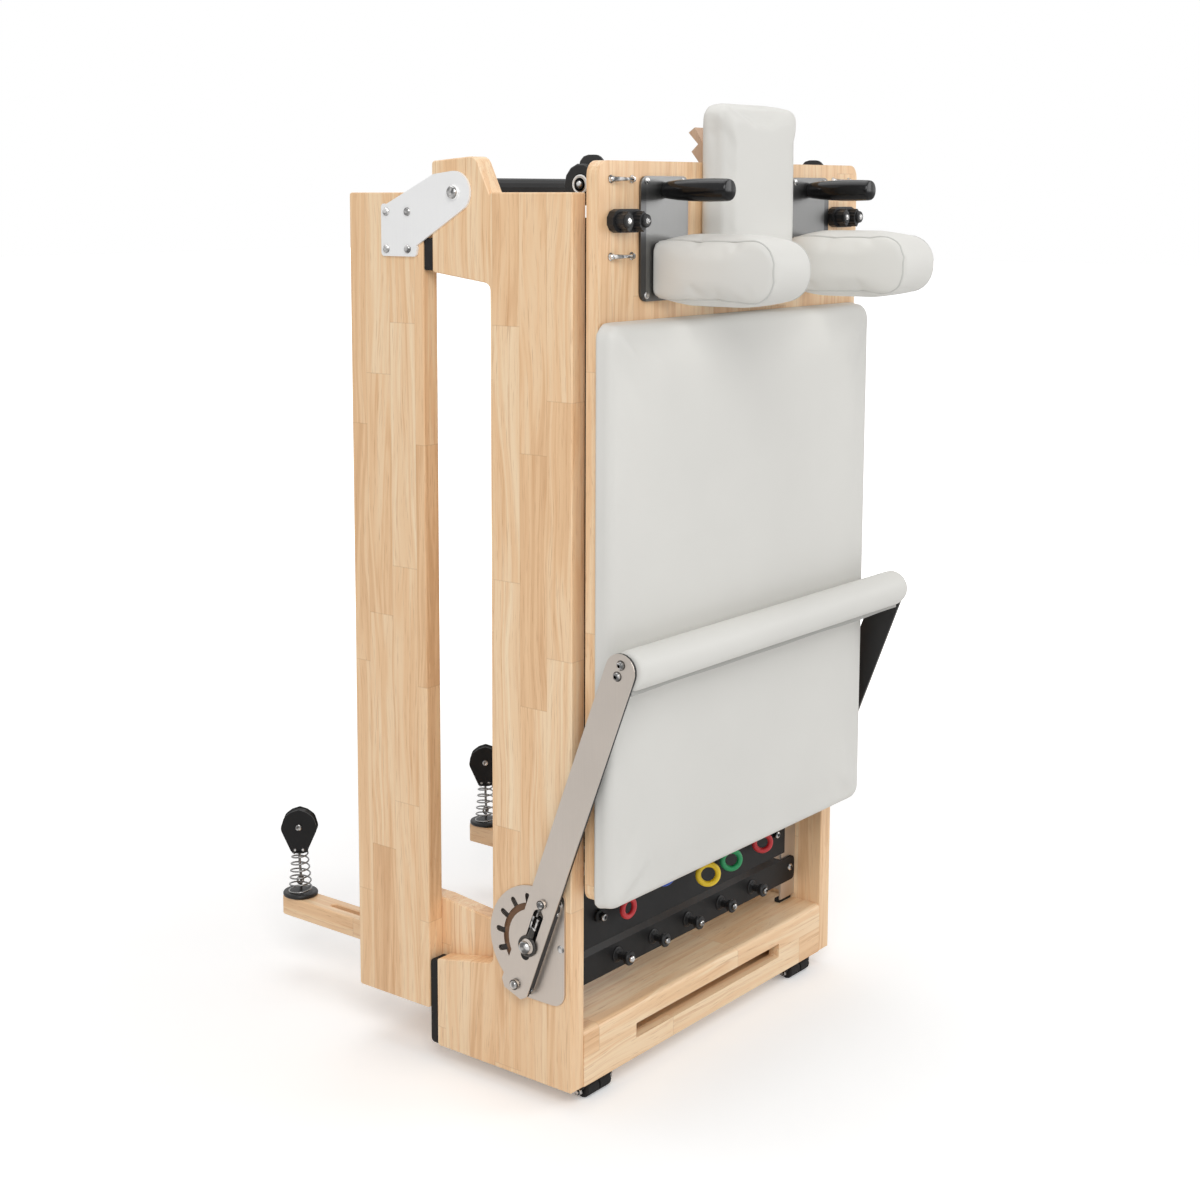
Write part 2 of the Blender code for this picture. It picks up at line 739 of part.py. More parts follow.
def ratchet_outline():
    """Round behind the pivot, straight in front of it, with a clipped lower corner."""
    y, z = BAR_PIVOT_Y, BAR_PIVOT_Z
    front = y - RATCHET_FRONT
    bottom = z - RATCHET_BOTTOM
    top = z + RATCHET_RADIUS
    clip = RATCHET_CLIP
    corner = RATCHET_CORNER
    outline = arc((y, z), RATCHET_RADIUS, math.radians(90), math.radians(-53), 18)
    outline += [(y + RATCHET_FLAT, bottom)]
    outline += arc((front + clip, bottom + clip), clip, math.radians(-90), math.radians(-180), 5)
    outline += arc((front + corner, top - corner), corner, math.radians(180), math.radians(90), 3)
    return outline


def ratchet_slot():
    """Arc slot about the pivot whose outer edge carries the notches for the lock pin."""
    y, z = BAR_PIVOT_Y, BAR_PIVOT_Z
    low = -math.pi / 2 + BAR_TILT
    high = low + (RATCHET_NOTCHES - 1) * RATCHET_PITCH
    half = PIN_RADIUS + GAP
    spread = half / ARC_OUTER
    outline = arc((y, z), ARC_INNER, high + spread, low - spread, 18)
    for i in range(RATCHET_NOTCHES):
        a = low + i * RATCHET_PITCH
        mouth = math.sqrt(ARC_OUTER ** 2 - half ** 2)
        along = Vector((math.cos(a), math.sin(a)))
        across = Vector((-along.y, along.x))
        here = Vector((y, z))
        outline.append(tuple(here + along * mouth - across * half))
        outline += arc(tuple(here + along * NOTCH_RADIUS), half, a - math.pi / 2, a + math.pi / 2, 4)
        outline.append(tuple(here + along * mouth + across * half))
        if i < RATCHET_NOTCHES - 1:
            outline += arc((y, z), ARC_OUTER, a + RATCHET_PITCH * 0.3, a + RATCHET_PITCH * 0.7, 2)
    return outline


def ratchet_plate(name, side, root):
    """Notched steel plate on the outer face of the foot rail, with the footbar's stud and nut."""
    inner = -HALF_WIDTH - GAP
    outer = inner - RATCHET_SHEET
    made = piece(name, on_side(prism(ratchet_outline(), outer, inner, "X"), side), steel(), root)
    cut(made, on_side(prism(ratchet_slot(), outer - 0.002, inner + 0.002, "X"), side))
    face = bar_outer_face()
    nut = face - GAP - RUNNING_GAP
    stud = lathe([
        (0, nut - 0.007), (0.004, nut - 0.0065), (0.008, nut - 0.0035), (0.0112, nut - 0.002), (0.0112, nut),
        (0.005, nut), (0.005, inner - 0.001), (0, inner - 0.001),
    ], "X", 16, (0, BAR_PIVOT_Y, BAR_PIVOT_Z))
    return fuse(made, on_side(stud, side))


def bar_inner_face():
    """X of the guide bar's inner face, beside the ratchet plate (left side)."""
    return -HALF_WIDTH - GAP - RATCHET_SHEET - RUNNING_GAP


def bar_outer_face():
    return bar_inner_face() - HUB_SHEET - LINER - BAR_ARM_SHEET


def along_bar(bm):
    """Tips a shape drawn upright over the pivot to the footbar's stored angle."""
    return turned(bm, BAR_TILT, "X", (0, BAR_PIVOT_Y, BAR_PIVOT_Z))


def footbar_arm(name, side, holder):
    """Flat steel arm with its liner, guide bar and lock pin, slotted over the hub."""
    y, z = BAR_PIVOT_Y, BAR_PIVOT_Z
    inner, outer = bar_inner_face(), bar_outer_face()
    half = BAR_ARM_WIDTH / 2
    top = z + BAR_LENGTH - 0.003
    outline = arc((y, top), half, 0, math.pi, 12)
    outline += [(y - half, z - 0.070), (y - half + 0.008, z - 0.079), (y + half - 0.008, z - 0.079),
                (y + half, z - 0.070)]
    made = piece(name, on_side(along_bar(prism(outline, outer, outer + BAR_ARM_SHEET, "X")), side), steel(),
                 holder, at=(0, y, z))
    guide = prism(rectangle(BAR_ARM_WIDTH - 2 * GAP, 0.146, 0.005, (y, z + 0.002), 2), outer + 0.001, inner, "X")
    slot_top = 0.058
    slot_low = -hub_reach() - GAP
    slot = prism(
        [(v + y, u + z) for u, v in reversed(stadium(slot_top - slot_low, hub_width() + 2 * GAP,
                                                     ((slot_top + slot_low) / 2, 0), 6))],
        outer - 0.002, inner + 0.002, "X",
    )
    pin = prism(circle(PIN_RADIUS, (y, z - NOTCH_RADIUS + PIN_LIFT), 12), inner - 0.001,
                inner + RATCHET_SHEET + RUNNING_GAP - GAP, "X")
    fuse(made, on_side(along_bar(guide), side))
    cut(made, on_side(along_bar(slot), side))
    fuse(made, on_side(along_bar(pin), side))
    for height in (-NOTCH_RADIUS, 0.0675):
        head = lathe([(0, outer - 0.004), (0.003, outer - 0.0037), (0.006, outer - 0.0015), (0.006, outer + 0.001),
                      (0, outer + 0.001)], "X", 10, (0, y, z + height))
        fuse(made, on_side(along_bar(head), side))
    return made


def hub_reach():
    return 0.012


def hub_width():
    return 0.0164


def footbar_hub(name, side, holder):
    """Sliding block on the stud, with the rod that keeps it straight in the arm's slot."""
    y, z = BAR_PIVOT_Y, BAR_PIVOT_Z
    inner, outer = bar_inner_face() + GAP, bar_outer_face() + GAP
    block = [(v + y, u + z) for u, v in reversed(stadium(2 * hub_reach(), hub_width(), (0, 0), 8))]
    made = piece(name, on_side(along_bar(prism(block, outer, inner - RUNNING_GAP, "X")), side), black_steel(),
                 holder, at=(0, y, z))
    mid = (inner + outer) / 2
    rod = lathe([(0, 0.009), (0.004, 0.009), (0.004, 0.043), (0.003, 0.044), (0, 0.044)], "Z", 10, (mid, y, z))
    fuse(made, on_side(along_bar(rod), side))
    cut(made, on_side(prism(circle(0.005 + GAP, (y, z), 16), outer - 0.01, inner + 0.01, "X"), side))
    return made


def roll_center():
    """Centre of the padded roll in the side plane."""
    up = Vector((-math.sin(BAR_TILT), math.cos(BAR_TILT)))
    forward = Vector((-math.cos(BAR_TILT), -math.sin(BAR_TILT)))
    at = Vector((BAR_PIVOT_Y, BAR_PIVOT_Z)) + up * BAR_LENGTH + forward * BAR_ROLL_SHIFT
    return at


def footbar_roll(holder):
    """Padded roll between the arms, drawn in at its seamed ends and very slightly crowned."""
    at = roll_center()
    reach = -bar_outer_face() - BAR_ARM_SHEET - GAP
    r = BAR_ROLL_RADIUS
    profile = [
        (0, -reach), (r - 0.008, -reach), (r - 0.003, -reach + 0.002), (r - 0.0012, -reach + 0.006),
        (r - 0.0016, -reach + 0.012), (r, -reach + 0.030), (r, reach - 0.030), (r - 0.0016, reach - 0.012),
        (r - 0.0012, reach - 0.006), (r - 0.003, reach - 0.002), (r - 0.008, reach), (0, reach),
    ]
    return piece("footbar_roll", lathe(profile, "X", 16, (0, at.x, at.y)), vinyl(), holder)


# Cushions

def loft(rings):
    """A closed solid through rings of equally many points, with a face at each end."""
    bm = bmesh.new()
    rows = [[bm.verts.new(point) for point in ring] for ring in rings]
    for row, above in zip(rows, rows[1:]):
        for i in range(len(row)):
            j = (i + 1) % len(row)
            bm.faces.new((row[i], row[j], above[j], above[i]))
    bm.faces.new(rows[0])
    bm.faces.new(rows[-1])
    bmesh.ops.recalc_face_normals(bm, faces=bm.faces)
    return bm


def cushion(width, height, corner, depth, back, at, crown, steps=5):
    """An upholstered pad that faces -Y: sides drawn in at the back, rolled edge, crowned front."""
    rows = [
        (0.0030, 0.0), (0.0012, 0.0030), (0.0, 0.35 * depth), (0.0004, 0.62 * depth), (0.0030, 0.82 * depth),
        (0.0085, 0.94 * depth), (0.0190, depth - crown * 0.5), (0.0400, depth),
    ]
    rings = []
    for inset, out in rows:
        radius = max(corner - inset * 0.6, 0.004)
        outline = rectangle(width - 2 * inset, height - 2 * inset, radius, at, steps)
        rings.append([(u, back - out, v) for u, v in outline])
    return loft(rings)


# Carriage

def carriage_board(holder):
    """Board with its wheel brackets, spring pegs and the recess for the headrest board."""
    top = CARRIAGE_BOTTOM + CARRIAGE_LENGTH
    mid = CARRIAGE_BOTTOM + CARRIAGE_LENGTH / 2
    back = -CARRIAGE_CLEARANCE
    outline = rectangle(CARRIAGE_WIDTH, CARRIAGE_LENGTH, CARRIAGE_CORNER, (0, mid), 5)
    made = piece("carriage_board", prism(outline, BOARD_FRONT, back, "Y"), wood(), holder)
    recess = HEADREST_WIDTH / 2 - 0.019
    cut(made, prism(
        rounded([(-recess, HEADREST_BOTTOM, 0.006), (recess, HEADREST_BOTTOM, 0.006),
                 (recess, top + 0.02, 0), (-recess, top + 0.02, 0)]),
        BOARD_FRONT - 0.01, back + 0.01, "Y",
    ))
    for side in SIDES.values():
        for height, reach in ((WHEEL_TOP_Z, 0.038), (WHEEL_LOW_Z, 0.028)):
            for bm in wheel_bracket(height, reach):
                fuse(made, on_side(bm, side))
    for i in range(SPRING_COUNT):
        fuse(made, spring_peg(spring_x(i)))
    return made


def wheel_center_y():
    return TRACK_Y - GAP - WHEEL_RADIUS


def wheel_center_x():
    return -(INNER_X - WHEEL_INSET - WHEEL_WIDTH / 2)


def wheel_bracket(height, reach):
    """Round-topped black angle under the board, inboard of a wheel, with the axle stub (left side)."""
    y = wheel_center_y()
    face = wheel_center_x() + WHEEL_WIDTH / 2 + RUNNING_GAP
    back = -CARRIAGE_CLEARANCE - 0.001
    tab = WHEEL_BRACKET_TAB
    cheek = rounded([
        (back, height - 0.020, 0), (y + tab, height - 0.020, 0.012), (y + tab, height + reach, tab - 0.001),
        (y - tab, height + reach, tab - 0.001), (back, height + reach - 0.022, 0),
    ], 3)
    plate = prism(cheek, face, face + WHEEL_BRACKET, "X")
    flange = box((face, back, height - 0.020), (face + 0.028, back + WHEEL_BRACKET + 0.001, height + 0.028))
    axle = prism(circle(0.005, (y, height), 8), face - WHEEL_WIDTH + 0.0065, face + WHEEL_BRACKET + 0.004, "X")
    return plate, flange, axle


def spring_x(i):
    return (i - (SPRING_COUNT - 1) / 2) * GEAR_POST_PITCH


def spring_top():
    return RING_Z + RING_RADIUS + 0.010 + SPRING_BODY


def spring_peg(x):
    """Peg under the board that a spring's fixed end seats on."""
    reach = SPRING_Y + CARRIAGE_CLEARANCE + 0.008
    height = spring_top() + GAP + 0.006
    profile = [(0, -0.001), (0.006, -0.001), (0.006, reach - 0.002), (0.004, reach), (0, reach)]
    return lathe(profile, "Y", 8, (x, -CARRIAGE_CLEARANCE, height))


def carriage_wheel(name, side, height, holder):
    """Wheel with a ring hub and a bolt head outboard, bored for its axle inboard."""
    r, h = WHEEL_RADIUS, WHEEL_WIDTH / 2
    bore = 0.005 + GAP
    profile = [
        (0, -h - 0.003), (0.006, -h - 0.002), (0.006, -h + 0.0015), (0.013, -h + 0.0015), (0.014, -h),
        (r - 0.002, -h), (r, -h + 0.002), (r, h - 0.002), (r - 0.002, h), (bore, h),
        (bore, -h + 0.006), (0, -h + 0.006),
    ]
    bm = lathe(profile, "X", 14, (wheel_center_x(), wheel_center_y(), height))
    return piece(name, on_side(bm, side), black_plastic(), holder)


def main_pad(holder):
    height = PAD_LENGTH
    mid = CARRIAGE_BOTTOM - PAD_OVERHANG + height / 2
    bm = cushion(CARRIAGE_WIDTH, height, PAD_CORNER, PAD_THICKNESS, PAD_BACK, (0, mid), 0.003)
    return piece("main_pad", bm, vinyl(), holder)


def spring_bar(holder):
    """Folded black sheet under the carriage's foot end, with holes that the springs pass through."""
    half = SPRING_BAR_WIDTH / 2
    t = 0.003
    back = -CARRIAGE_CLEARANCE + GAP
    rear = wheel_center_y() + 0.023
    section = [
        (back, SPRING_BAR_TOP), (rear - t, SPRING_BAR_TOP), (rear - t, SPRING_BAR_BOTTOM), (rear, SPRING_BAR_BOTTOM),
        (rear, SPRING_BAR_TOP + t), (back, SPRING_BAR_TOP + t),
    ]
    made = piece("spring_bar", prism(section, -half, half, "X"), black_steel(), holder)
    lip = half - 0.022
    fuse(made, box((-lip, back, SPRING_BAR_TOP + t - 0.001), (lip, back + t, SPRING_BAR_TOP + 0.034)))
    for i in range(SPRING_COUNT):
        hole = prism(circle(SPRING_COIL + SPRING_WIRE + 0.002, (spring_x(i), SPRING_Y), 10),
                     SPRING_BAR_TOP - 0.01, SPRING_BAR_TOP + 0.01, "Z")
        cut(made, hole)
    for side in SIDES.values():
        x = side * (spring_x(SPRING_COUNT - 1) + 0.050)
        post = lathe([(0, 0.001), (0.009, 0.001), (0.009, -0.004), (0.006, -0.006), (0.006, -0.012), (0, -0.016)], "Y", 8, (x, rear - t, RING_Z + 0.005))
        fuse(made, post)
    return made


# Springs

def coil_points(turns, per_turn, radius_at, start, rise):
    """A helix about Z from `start`, its radius given by the share of the way up."""
    count = turns * per_turn
    points = []
    for i in range(count + 1):
        share = i / count
        angle = 2 * math.pi * i / per_turn
        radius = radius_at(share)
        points.append(Vector((
            start[0] + radius * math.cos(angle), start[1] + radius * math.sin(angle), start[2] + rise * share,
        )))
    return points


def least_gap(points, per_turn, wire):
    """Least clear distance between one curl of a tube and the next."""
    skip = per_turn // 2 + 1
    best = min(
        (points[i] - points[j]).length for i in range(len(points)) for j in range(i + skip, len(points))
    )
    return best - 2 * wire


def spring(name, index, color, holder):
    """Tension spring hanging from its peg, with the coloured ring on its free end."""
    x = spring_x(index)
    low = RING_Z + RING_RADIUS + 0.010
    per_turn = 8

    def radius_at(share):
        ends = min(share, 1 - share) * SPRING_CURLS / 0.75
        return SPRING_COIL * min(1.0, ends)

    points = coil_points(SPRING_CURLS, per_turn, radius_at, (x, SPRING_Y, low), SPRING_BODY - 2 * SPRING_WIRE)
    print(f"{name}: least gap between curls {least_gap(points, per_turn, SPRING_WIRE) * 1000:.2f} mm")
    first, last = points[0], points[-1]
    tail = [first - Vector((0, 0, 0.010)), first - Vector((0, 0, 2 * SPRING_WIRE))]
    points = tail + points + [last + Vector((0, 0, 2 * SPRING_WIRE))]
    made = piece(name, tube_along(points, SPRING_WIRE, 1), material(f"{name}_ring", color, 0.45), holder, angle=70)
    ring = [(RING_RADIUS * math.cos(a) + x, SPRING_Y, RING_Z + RING_RADIUS * math.sin(a))
            for a in (2 * math.pi * i / 12 for i in range(12))]
    return fuse(made, tube_along(ring, RING_TUBE, 1, cyclic=True))


# Headrest

def headrest_hinge():
    return (0.0, BOARD_FRONT, HEADREST_BOTTOM + 0.004)


def headrest_board(holder):
    """Board behind the headrest pad, lying in the recess, with the prop's hinge ears."""
    half = HEADREST_WIDTH / 2 - 0.023
    top = HEADREST_BOTTOM + HEADREST_LENGTH - 0.018
    outline = rounded([(-half, HEADREST_BOTTOM + 0.003, 0.004), (half, HEADREST_BOTTOM + 0.003, 0.004),
                       (half, top, 0.012), (-half, top, 0.012)])
    made = piece("headrest_board", prism(outline, BOARD_FRONT, BOARD_FRONT + HEADREST_BOARD, "Y"), wood(), holder)
    y, z = prop_hinge()
    for side in SIDES.values():
        inner = side * (PROP_WIDTH / 2 + GAP)
        ear = prism(rounded([(BOARD_FRONT + HEADREST_BOARD - 0.001, z - 0.008, 0), (y + 0.006, z - 0.008, 0.006),
                             (y + 0.006, z + 0.008, 0.006), (BOARD_FRONT + HEADREST_BOARD - 0.001, z + 0.008, 0)], 2),
                    inner, inner + side * 0.003, "X")
        pin = prism(circle(0.0025, (y, z), 8), inner + side * 0.001, inner - side * 0.008, "X")
        fuse(made, ear)
        fuse(made, pin)
    return made


def prop_hinge():
    return (BOARD_FRONT + HEADREST_BOARD + 0.009, HEADREST_BOTTOM + 0.177)


def headrest_prop(holder):
    """Notched wooden prop that swings from the headrest board to hold it raised."""
    y, z = prop_hinge()
    r = PROP_THICKNESS / 2
    outline = arc((y, z), r, math.radians(145), math.radians(325), 8)
    outline += [(y + 0.039, z + 0.034), (y + 0.028, z + 0.044), (y + 0.044, z + 0.060), (y + 0.034, z + 0.067)]
    half = PROP_WIDTH / 2
    made = piece("headrest_prop", prism(outline, -half, half, "X"), wood(), holder)
    for side in SIDES.values():
        socket = prism(circle(0.0025 + GAP, (y, z), 8), side * (half + 0.001), side * (half - 0.010), "X")
        cut(made, socket)
    return made


def headrest_pad(holder):
    back = BOARD_FRONT - GAP
    mid = HEADREST_BOTTOM + HEADREST_LENGTH / 2
    bm = cushion(HEADREST_WIDTH, HEADREST_LENGTH, 0.020, HEADREST_PAD, back, (0, mid), 0.004)
    return piece("headrest_pad", bm, vinyl(), holder)


# Shoulder rests and cleats

def shoulder_bracket(name, side, holder):
    """Flat steel plate on the board under a shoulder rest."""
    x = -SHOULDER_PAD_X - 0.015
    mid = HANDLE_Z + 0.018 - BRACKET_HEIGHT / 2
    outline = rectangle(BRACKET_WIDTH, BRACKET_HEIGHT, 0.012, (x, mid))
    return piece(name, on_side(prism(outline, PAD_BACK - BRACKET_SHEET, PAD_BACK, "Y"), side), steel(), holder)


def shoulder_handle(name, side, holder):
    """Tapered round grip with a flat cap that stands on the bracket above the pad."""
    back = PAD_BACK - BRACKET_SHEET - GAP
    end = HANDLE_LENGTH
    profile = [
        (0, 0), (HANDLE_ROOT + 0.002, 0), (HANDLE_ROOT + 0.002, -0.004), (HANDLE_ROOT, -0.006),
        (HANDLE_END, -end + 0.006), (HANDLE_END, -end + 0.002), (HANDLE_END - 0.002, -end), (0, -end),
    ]
    bm = lathe(profile, "Y", 16, (-HANDLE_X, back, HANDLE_Z))
    return piece(name, on_side(bm, side), gloss_plastic(), holder)


def shoulder_pad(name, side, holder):
    """Thick round-ended cushion; rolled front, drawn-in side with a piping line at each end."""
    back = PAD_BACK - BRACKET_SHEET - GAP
    length = SHOULDER_PAD_LENGTH
    radius = SHOULDER_PAD_HEIGHT / 2 - 0.001
    rows = [
        (0.0030, 0.0), (0.0, 0.004), (0.0, 0.010), (0.0018, 0.014), (0.0026, 0.5 * length), (0.0018, length - 0.016),
        (0.0, length - 0.012), (0.0008, length - 0.007), (0.0040, length - 0.003), (0.0110, length - 0.0008),
        (0.0240, length),
    ]
    rings = []
    for inset, out in rows:
        outline = rectangle(SHOULDER_PAD_WIDTH - 2 * inset, SHOULDER_PAD_HEIGHT - 2 * inset,
                            max(radius - inset, 0.002), (-SHOULDER_PAD_X, SHOULDER_PAD_Z), 4)
        rings.append([(u, back - out, v) for u, v in outline])
    return piece(name, on_side(loft(rings), side), vinyl(), holder)


def rope_cleat(name, side, holder):
    """Base of a cam cleat with its two pins."""
    base = prism(stadium(CLEAT_LENGTH, CLEAT_WIDTH, (-CLEAT_X, CLEAT_Z)), PAD_BACK - CLEAT_BASE, PAD_BACK, "Y")
    made = piece(name, on_side(base, side), black_plastic(), holder)
    reach = CLEAT_BASE + GAP + CAM_HEIGHT + GAP
    for edge in (-1, 1):
        x = -CLEAT_X + edge * CAM_SPREAD / 2
        pin = lathe([(0, 0.001), (0.003, 0.001), (0.003, -reach + CLEAT_BASE), (0.0055, -reach + CLEAT_BASE),
                     (0.0055, -reach + CLEAT_BASE - 0.002), (0.004, -reach + CLEAT_BASE - 0.0035),
                     (0, -reach + CLEAT_BASE - 0.0038)], "Y", 8, (x, PAD_BACK - CLEAT_BASE, CLEAT_Z))
        fuse(made, on_side(pin, side))
    return made


def cleat_cam(name, side, edge, holder):
    """Eccentric cam whose toothed edge faces the other cam."""
    x = -CLEAT_X + edge * CAM_SPREAD / 2
    outline = []
    teeth = 2 * CAM_TEETH
    facing = math.pi if edge > 0 else 0.0
    for i in range(teeth + 1):
        share = i / teeth
        a = facing + edge * (share - 0.5) * math.radians(150)
        tooth = 0.0011 if i % 2 else 0.0
        outline.append((x + (CAM_RADIUS + 0.002 * share - tooth) * math.cos(a),
                        CLEAT_Z + (CAM_RADIUS + 0.002 * share - tooth) * math.sin(a)))
    start = facing + edge * math.radians(90)
    outline += arc((x, CLEAT_Z), CAM_RADIUS - 0.003, start, start + edge * math.radians(180), 5)
    front = PAD_BACK - CLEAT_BASE - GAP
    bm = prism(outline, front - CAM_HEIGHT, front, "Y")
    made = piece(name, on_side(bm, side), black_plastic(), holder, at=(-side * x, PAD_BACK, CLEAT_Z))
    hole = prism(circle(0.003 + GAP, (x, CLEAT_Z), 8), front - CAM_HEIGHT - 0.002, front + 0.002, "Y")
    return cut(made, on_side(hole, side))


# Risers and rope pulleys

def riser_base():
    return HEAD_END_RISE + END_BOARD + GAP


def riser_top():
    return riser_base() + RISER_THICKNESS


def riser_arm(name, side, holder):
    """Slotted wooden arm that slides on the end board and carries a rope pulley."""
    mid = (RISER_START + RISER_END) / 2
    outline = [(v - RISER_X, u + mid) for u, v in
               reversed(rectangle(RISER_END - RISER_START, RISER_WIDTH, 0.005, steps=2))]
    made = piece(name, on_side(prism(outline, riser_base(), riser_top(), "Z"), side), wood(), holder)
    length = RISER_SLOT_END - RISER_SLOT_START
    center = (RISER_SLOT_END + RISER_SLOT_START) / 2
    slot = [(v - RISER_X, u) for u, v in reversed(stadium(length, RISER_SLOT, (center, 0)))]
    cut(made, on_side(prism(slot, riser_base() - 0.002, riser_top() + 0.002, "Z"), side))
    soften(made, 0.0015, 1)
    return made


def riser_knob(name, side, holder):
    """Six-lobed clamp knob whose screw passes the arm's slot down to the end board."""
    z = riser_top() + GAP
    low = riser_base() - z
    rings = []
    for inset, height in ((0.003, 0.004), (0.0, 0.007), (0.0, KNOB_HEIGHT - 0.003), (0.003, KNOB_HEIGHT)):
        ring = []
        for i in range(24):
            a = 2 * math.pi * i / 24
            radius = KNOB_RADIUS - inset - 0.0015 * (1 - math.cos(6 * a))
            ring.append((-RISER_X + radius * math.cos(a), KNOB_Y + radius * math.sin(a), z + height))
        rings.append(ring)
    made = piece(name, on_side(loft(rings), side), black_plastic(), holder, at=(side * RISER_X, KNOB_Y, z))
    stem = lathe([(0, low), (0.004, low), (0.004, 0.0), (0.010, 0.0), (0.010, 0.006), (0, 0.006)], "Z", 12,
                 (-RISER_X, KNOB_Y, z))
    return fuse(made, on_side(stem, side))


def cup_shape():
    """Shallow black cup that seats the spring on the arm (left side)."""
    r, h = CUP_RADIUS, CUP_HEIGHT
    profile = [(0, 0), (r - 0.002, 0), (r, 0.002), (r, h - 0.001), (r - 0.001, h), (r - 0.003, h), (r - 0.005, 0.003),
               (0, 0.003)]
    return lathe(profile, "Z", 14, (-RISER_X, PULLEY_Y, riser_top() + GAP))


def coil_floor():
    """The lowest curl is bedded slightly into the cup's floor."""
    return riser_top() + GAP + 0.003 - PULLEY_SPRING_WIRE * 0.2


def pulley_spring(name, side, holder):
    """Conical spring in its cup, which carries the pulley block over the arm."""
    per_turn = 8
    wire = PULLEY_SPRING_WIRE / 2
    turns = PULLEY_SPRING_TURNS

    def radius_at(share):
        return PULLEY_SPRING_BASE + (PULLEY_SPRING_TOP - PULLEY_SPRING_BASE) * share

    rise = PULLEY_SPRING_HEIGHT - PULLEY_SPRING_WIRE
    start = (-RISER_X, PULLEY_Y, coil_floor() + wire)
    points = coil_points(turns, per_turn, radius_at, start, rise)
    print(f"{name}: least gap between curls {least_gap(points, per_turn, wire) * 1000:.2f} mm")
    first, last = points[0], points[-1]
    points = [first - Vector((0, PULLEY_SPRING_WIRE, 0))] + points + [last + Vector((0, PULLEY_SPRING_WIRE, 0))]
    made = piece(name, on_side(tube_along(points, wire, 1), side), spring_steel(), holder, angle=70)
    return fuse(made, on_side(cup_shape(), side))


def block_floor():
    return coil_floor() + PULLEY_SPRING_HEIGHT + GAP


def sheave_z():
    return block_floor() + 0.042


def block_turned(bm, side):
    """Sets a block piece, drawn facing -Y over the left arm, at its stored swivel angle."""
    bm = turned(bm, BLOCK_TURN, "Z", (-RISER_X, PULLEY_Y, 0))
    return moved(bm, (2 * RISER_X, 0, 0)) if side > 0 else bm


def pulley_block(name, side, holder):
    """Two kite-shaped cheeks on a foot, with the sheave's axle between them."""
    low, z = block_floor(), sheave_z()
    half = BLOCK_WIDTH / 2
    gap = SHEAVE_WIDTH / 2 + RUNNING_GAP
    x, y = -RISER_X, PULLEY_Y
    kite = rounded([
        (x - 0.012, low + 0.001, 0.004), (x + 0.012, low + 0.001, 0.004), (x + half, z - 0.003, 0.012),
        (x + half - 0.006, z + 0.016, 0.012), (x, low + BLOCK_HEIGHT, 0.020), (x - half + 0.006, z + 0.016, 0.012),
        (x - half, z - 0.003, 0.012),
    ], 2)
    front = prism(kite, y - gap - CHEEK_SHEET, y - gap, "Y")
    made = piece(name, block_turned(front, side), black_plastic(), holder,
                 at=(side * RISER_X, y, low))
    back = prism(kite, y + gap, y + gap + CHEEK_SHEET, "Y")
    foot = prism(rectangle(0.022, 0.011, 0.002, (x, low + 0.0065)), y - gap - 0.001, y + gap + 0.001, "Y")
    seat = lathe([(0, low), (0.013, low), (0.013, low + 0.003), (0, low + 0.003)], "Z", 12, (x, y, 0))
    axle = lathe([(0, -gap - CHEEK_SHEET - 0.002), (0.003, -gap - CHEEK_SHEET - 0.002),
                  (0.005, -gap - CHEEK_SHEET - 0.0005), (0.005, -gap - CHEEK_SHEET + 0.001),
                  (0.004, -gap - CHEEK_SHEET + 0.001), (0.004, gap + 0.001), (0, gap + 0.001)], "Y", 8, (x, y, z))
    for bm in (back, foot, seat, axle):
        fuse(made, block_turned(bm, side))
    return made


def pulley_sheave(name, side, holder):
    """Grooved sheave bored for its axle."""
    r, h = SHEAVE_RADIUS, SHEAVE_WIDTH / 2
    bore = 0.004 + GAP
    profile = [(bore, -h), (r - 0.001, -h), (r, -h + 0.0015), (r - 0.006, -0.0015), (r - 0.006, 0.0015),
               (r, h - 0.0015), (r - 0.001, h), (bore, h), (bore, -h)]
    bm = lathe(profile, "Y", 16, (-RISER_X, PULLEY_Y, sheave_z()))
    return piece(name, block_turned(bm, side), black_plastic(), holder, at=(side * RISER_X, PULLEY_Y, sheave_z()))


# Assembly

RING_COLORS = (
    ("spring_red_left", (0.62, 0.05, 0.03)), ("spring_blue", (0.03, 0.14, 0.50)),
    ("spring_yellow", (0.80, 0.60, 0.02)), ("spring_green", (0.02, 0.42, 0.20)),
    ("spring_red_right", (0.62, 0.05, 0.03)),
)


def build_foot_half(root):
    platform(root)
    gear_bar(root)
    hinge_tube(root)
    for word, side in SIDES.items():
        cut(foot_rail(f"foot_rail_{word}", side, root), lug_bore(side))
        leg_pad(f"leg_pad_{word}", side, root)
        track(f"track_{word}", side, root)
        ratchet_plate(f"ratchet_plate_{word}", side, root)
        spot = (side * (INNER_X - ROLLER_INSET), ROLLER_Y, ROLLER_RADIUS - FOOT_HEIGHT)
        transport_roller(f"transport_roller_{word}", side, empty(f"roller_axis_{word}", root, spot))


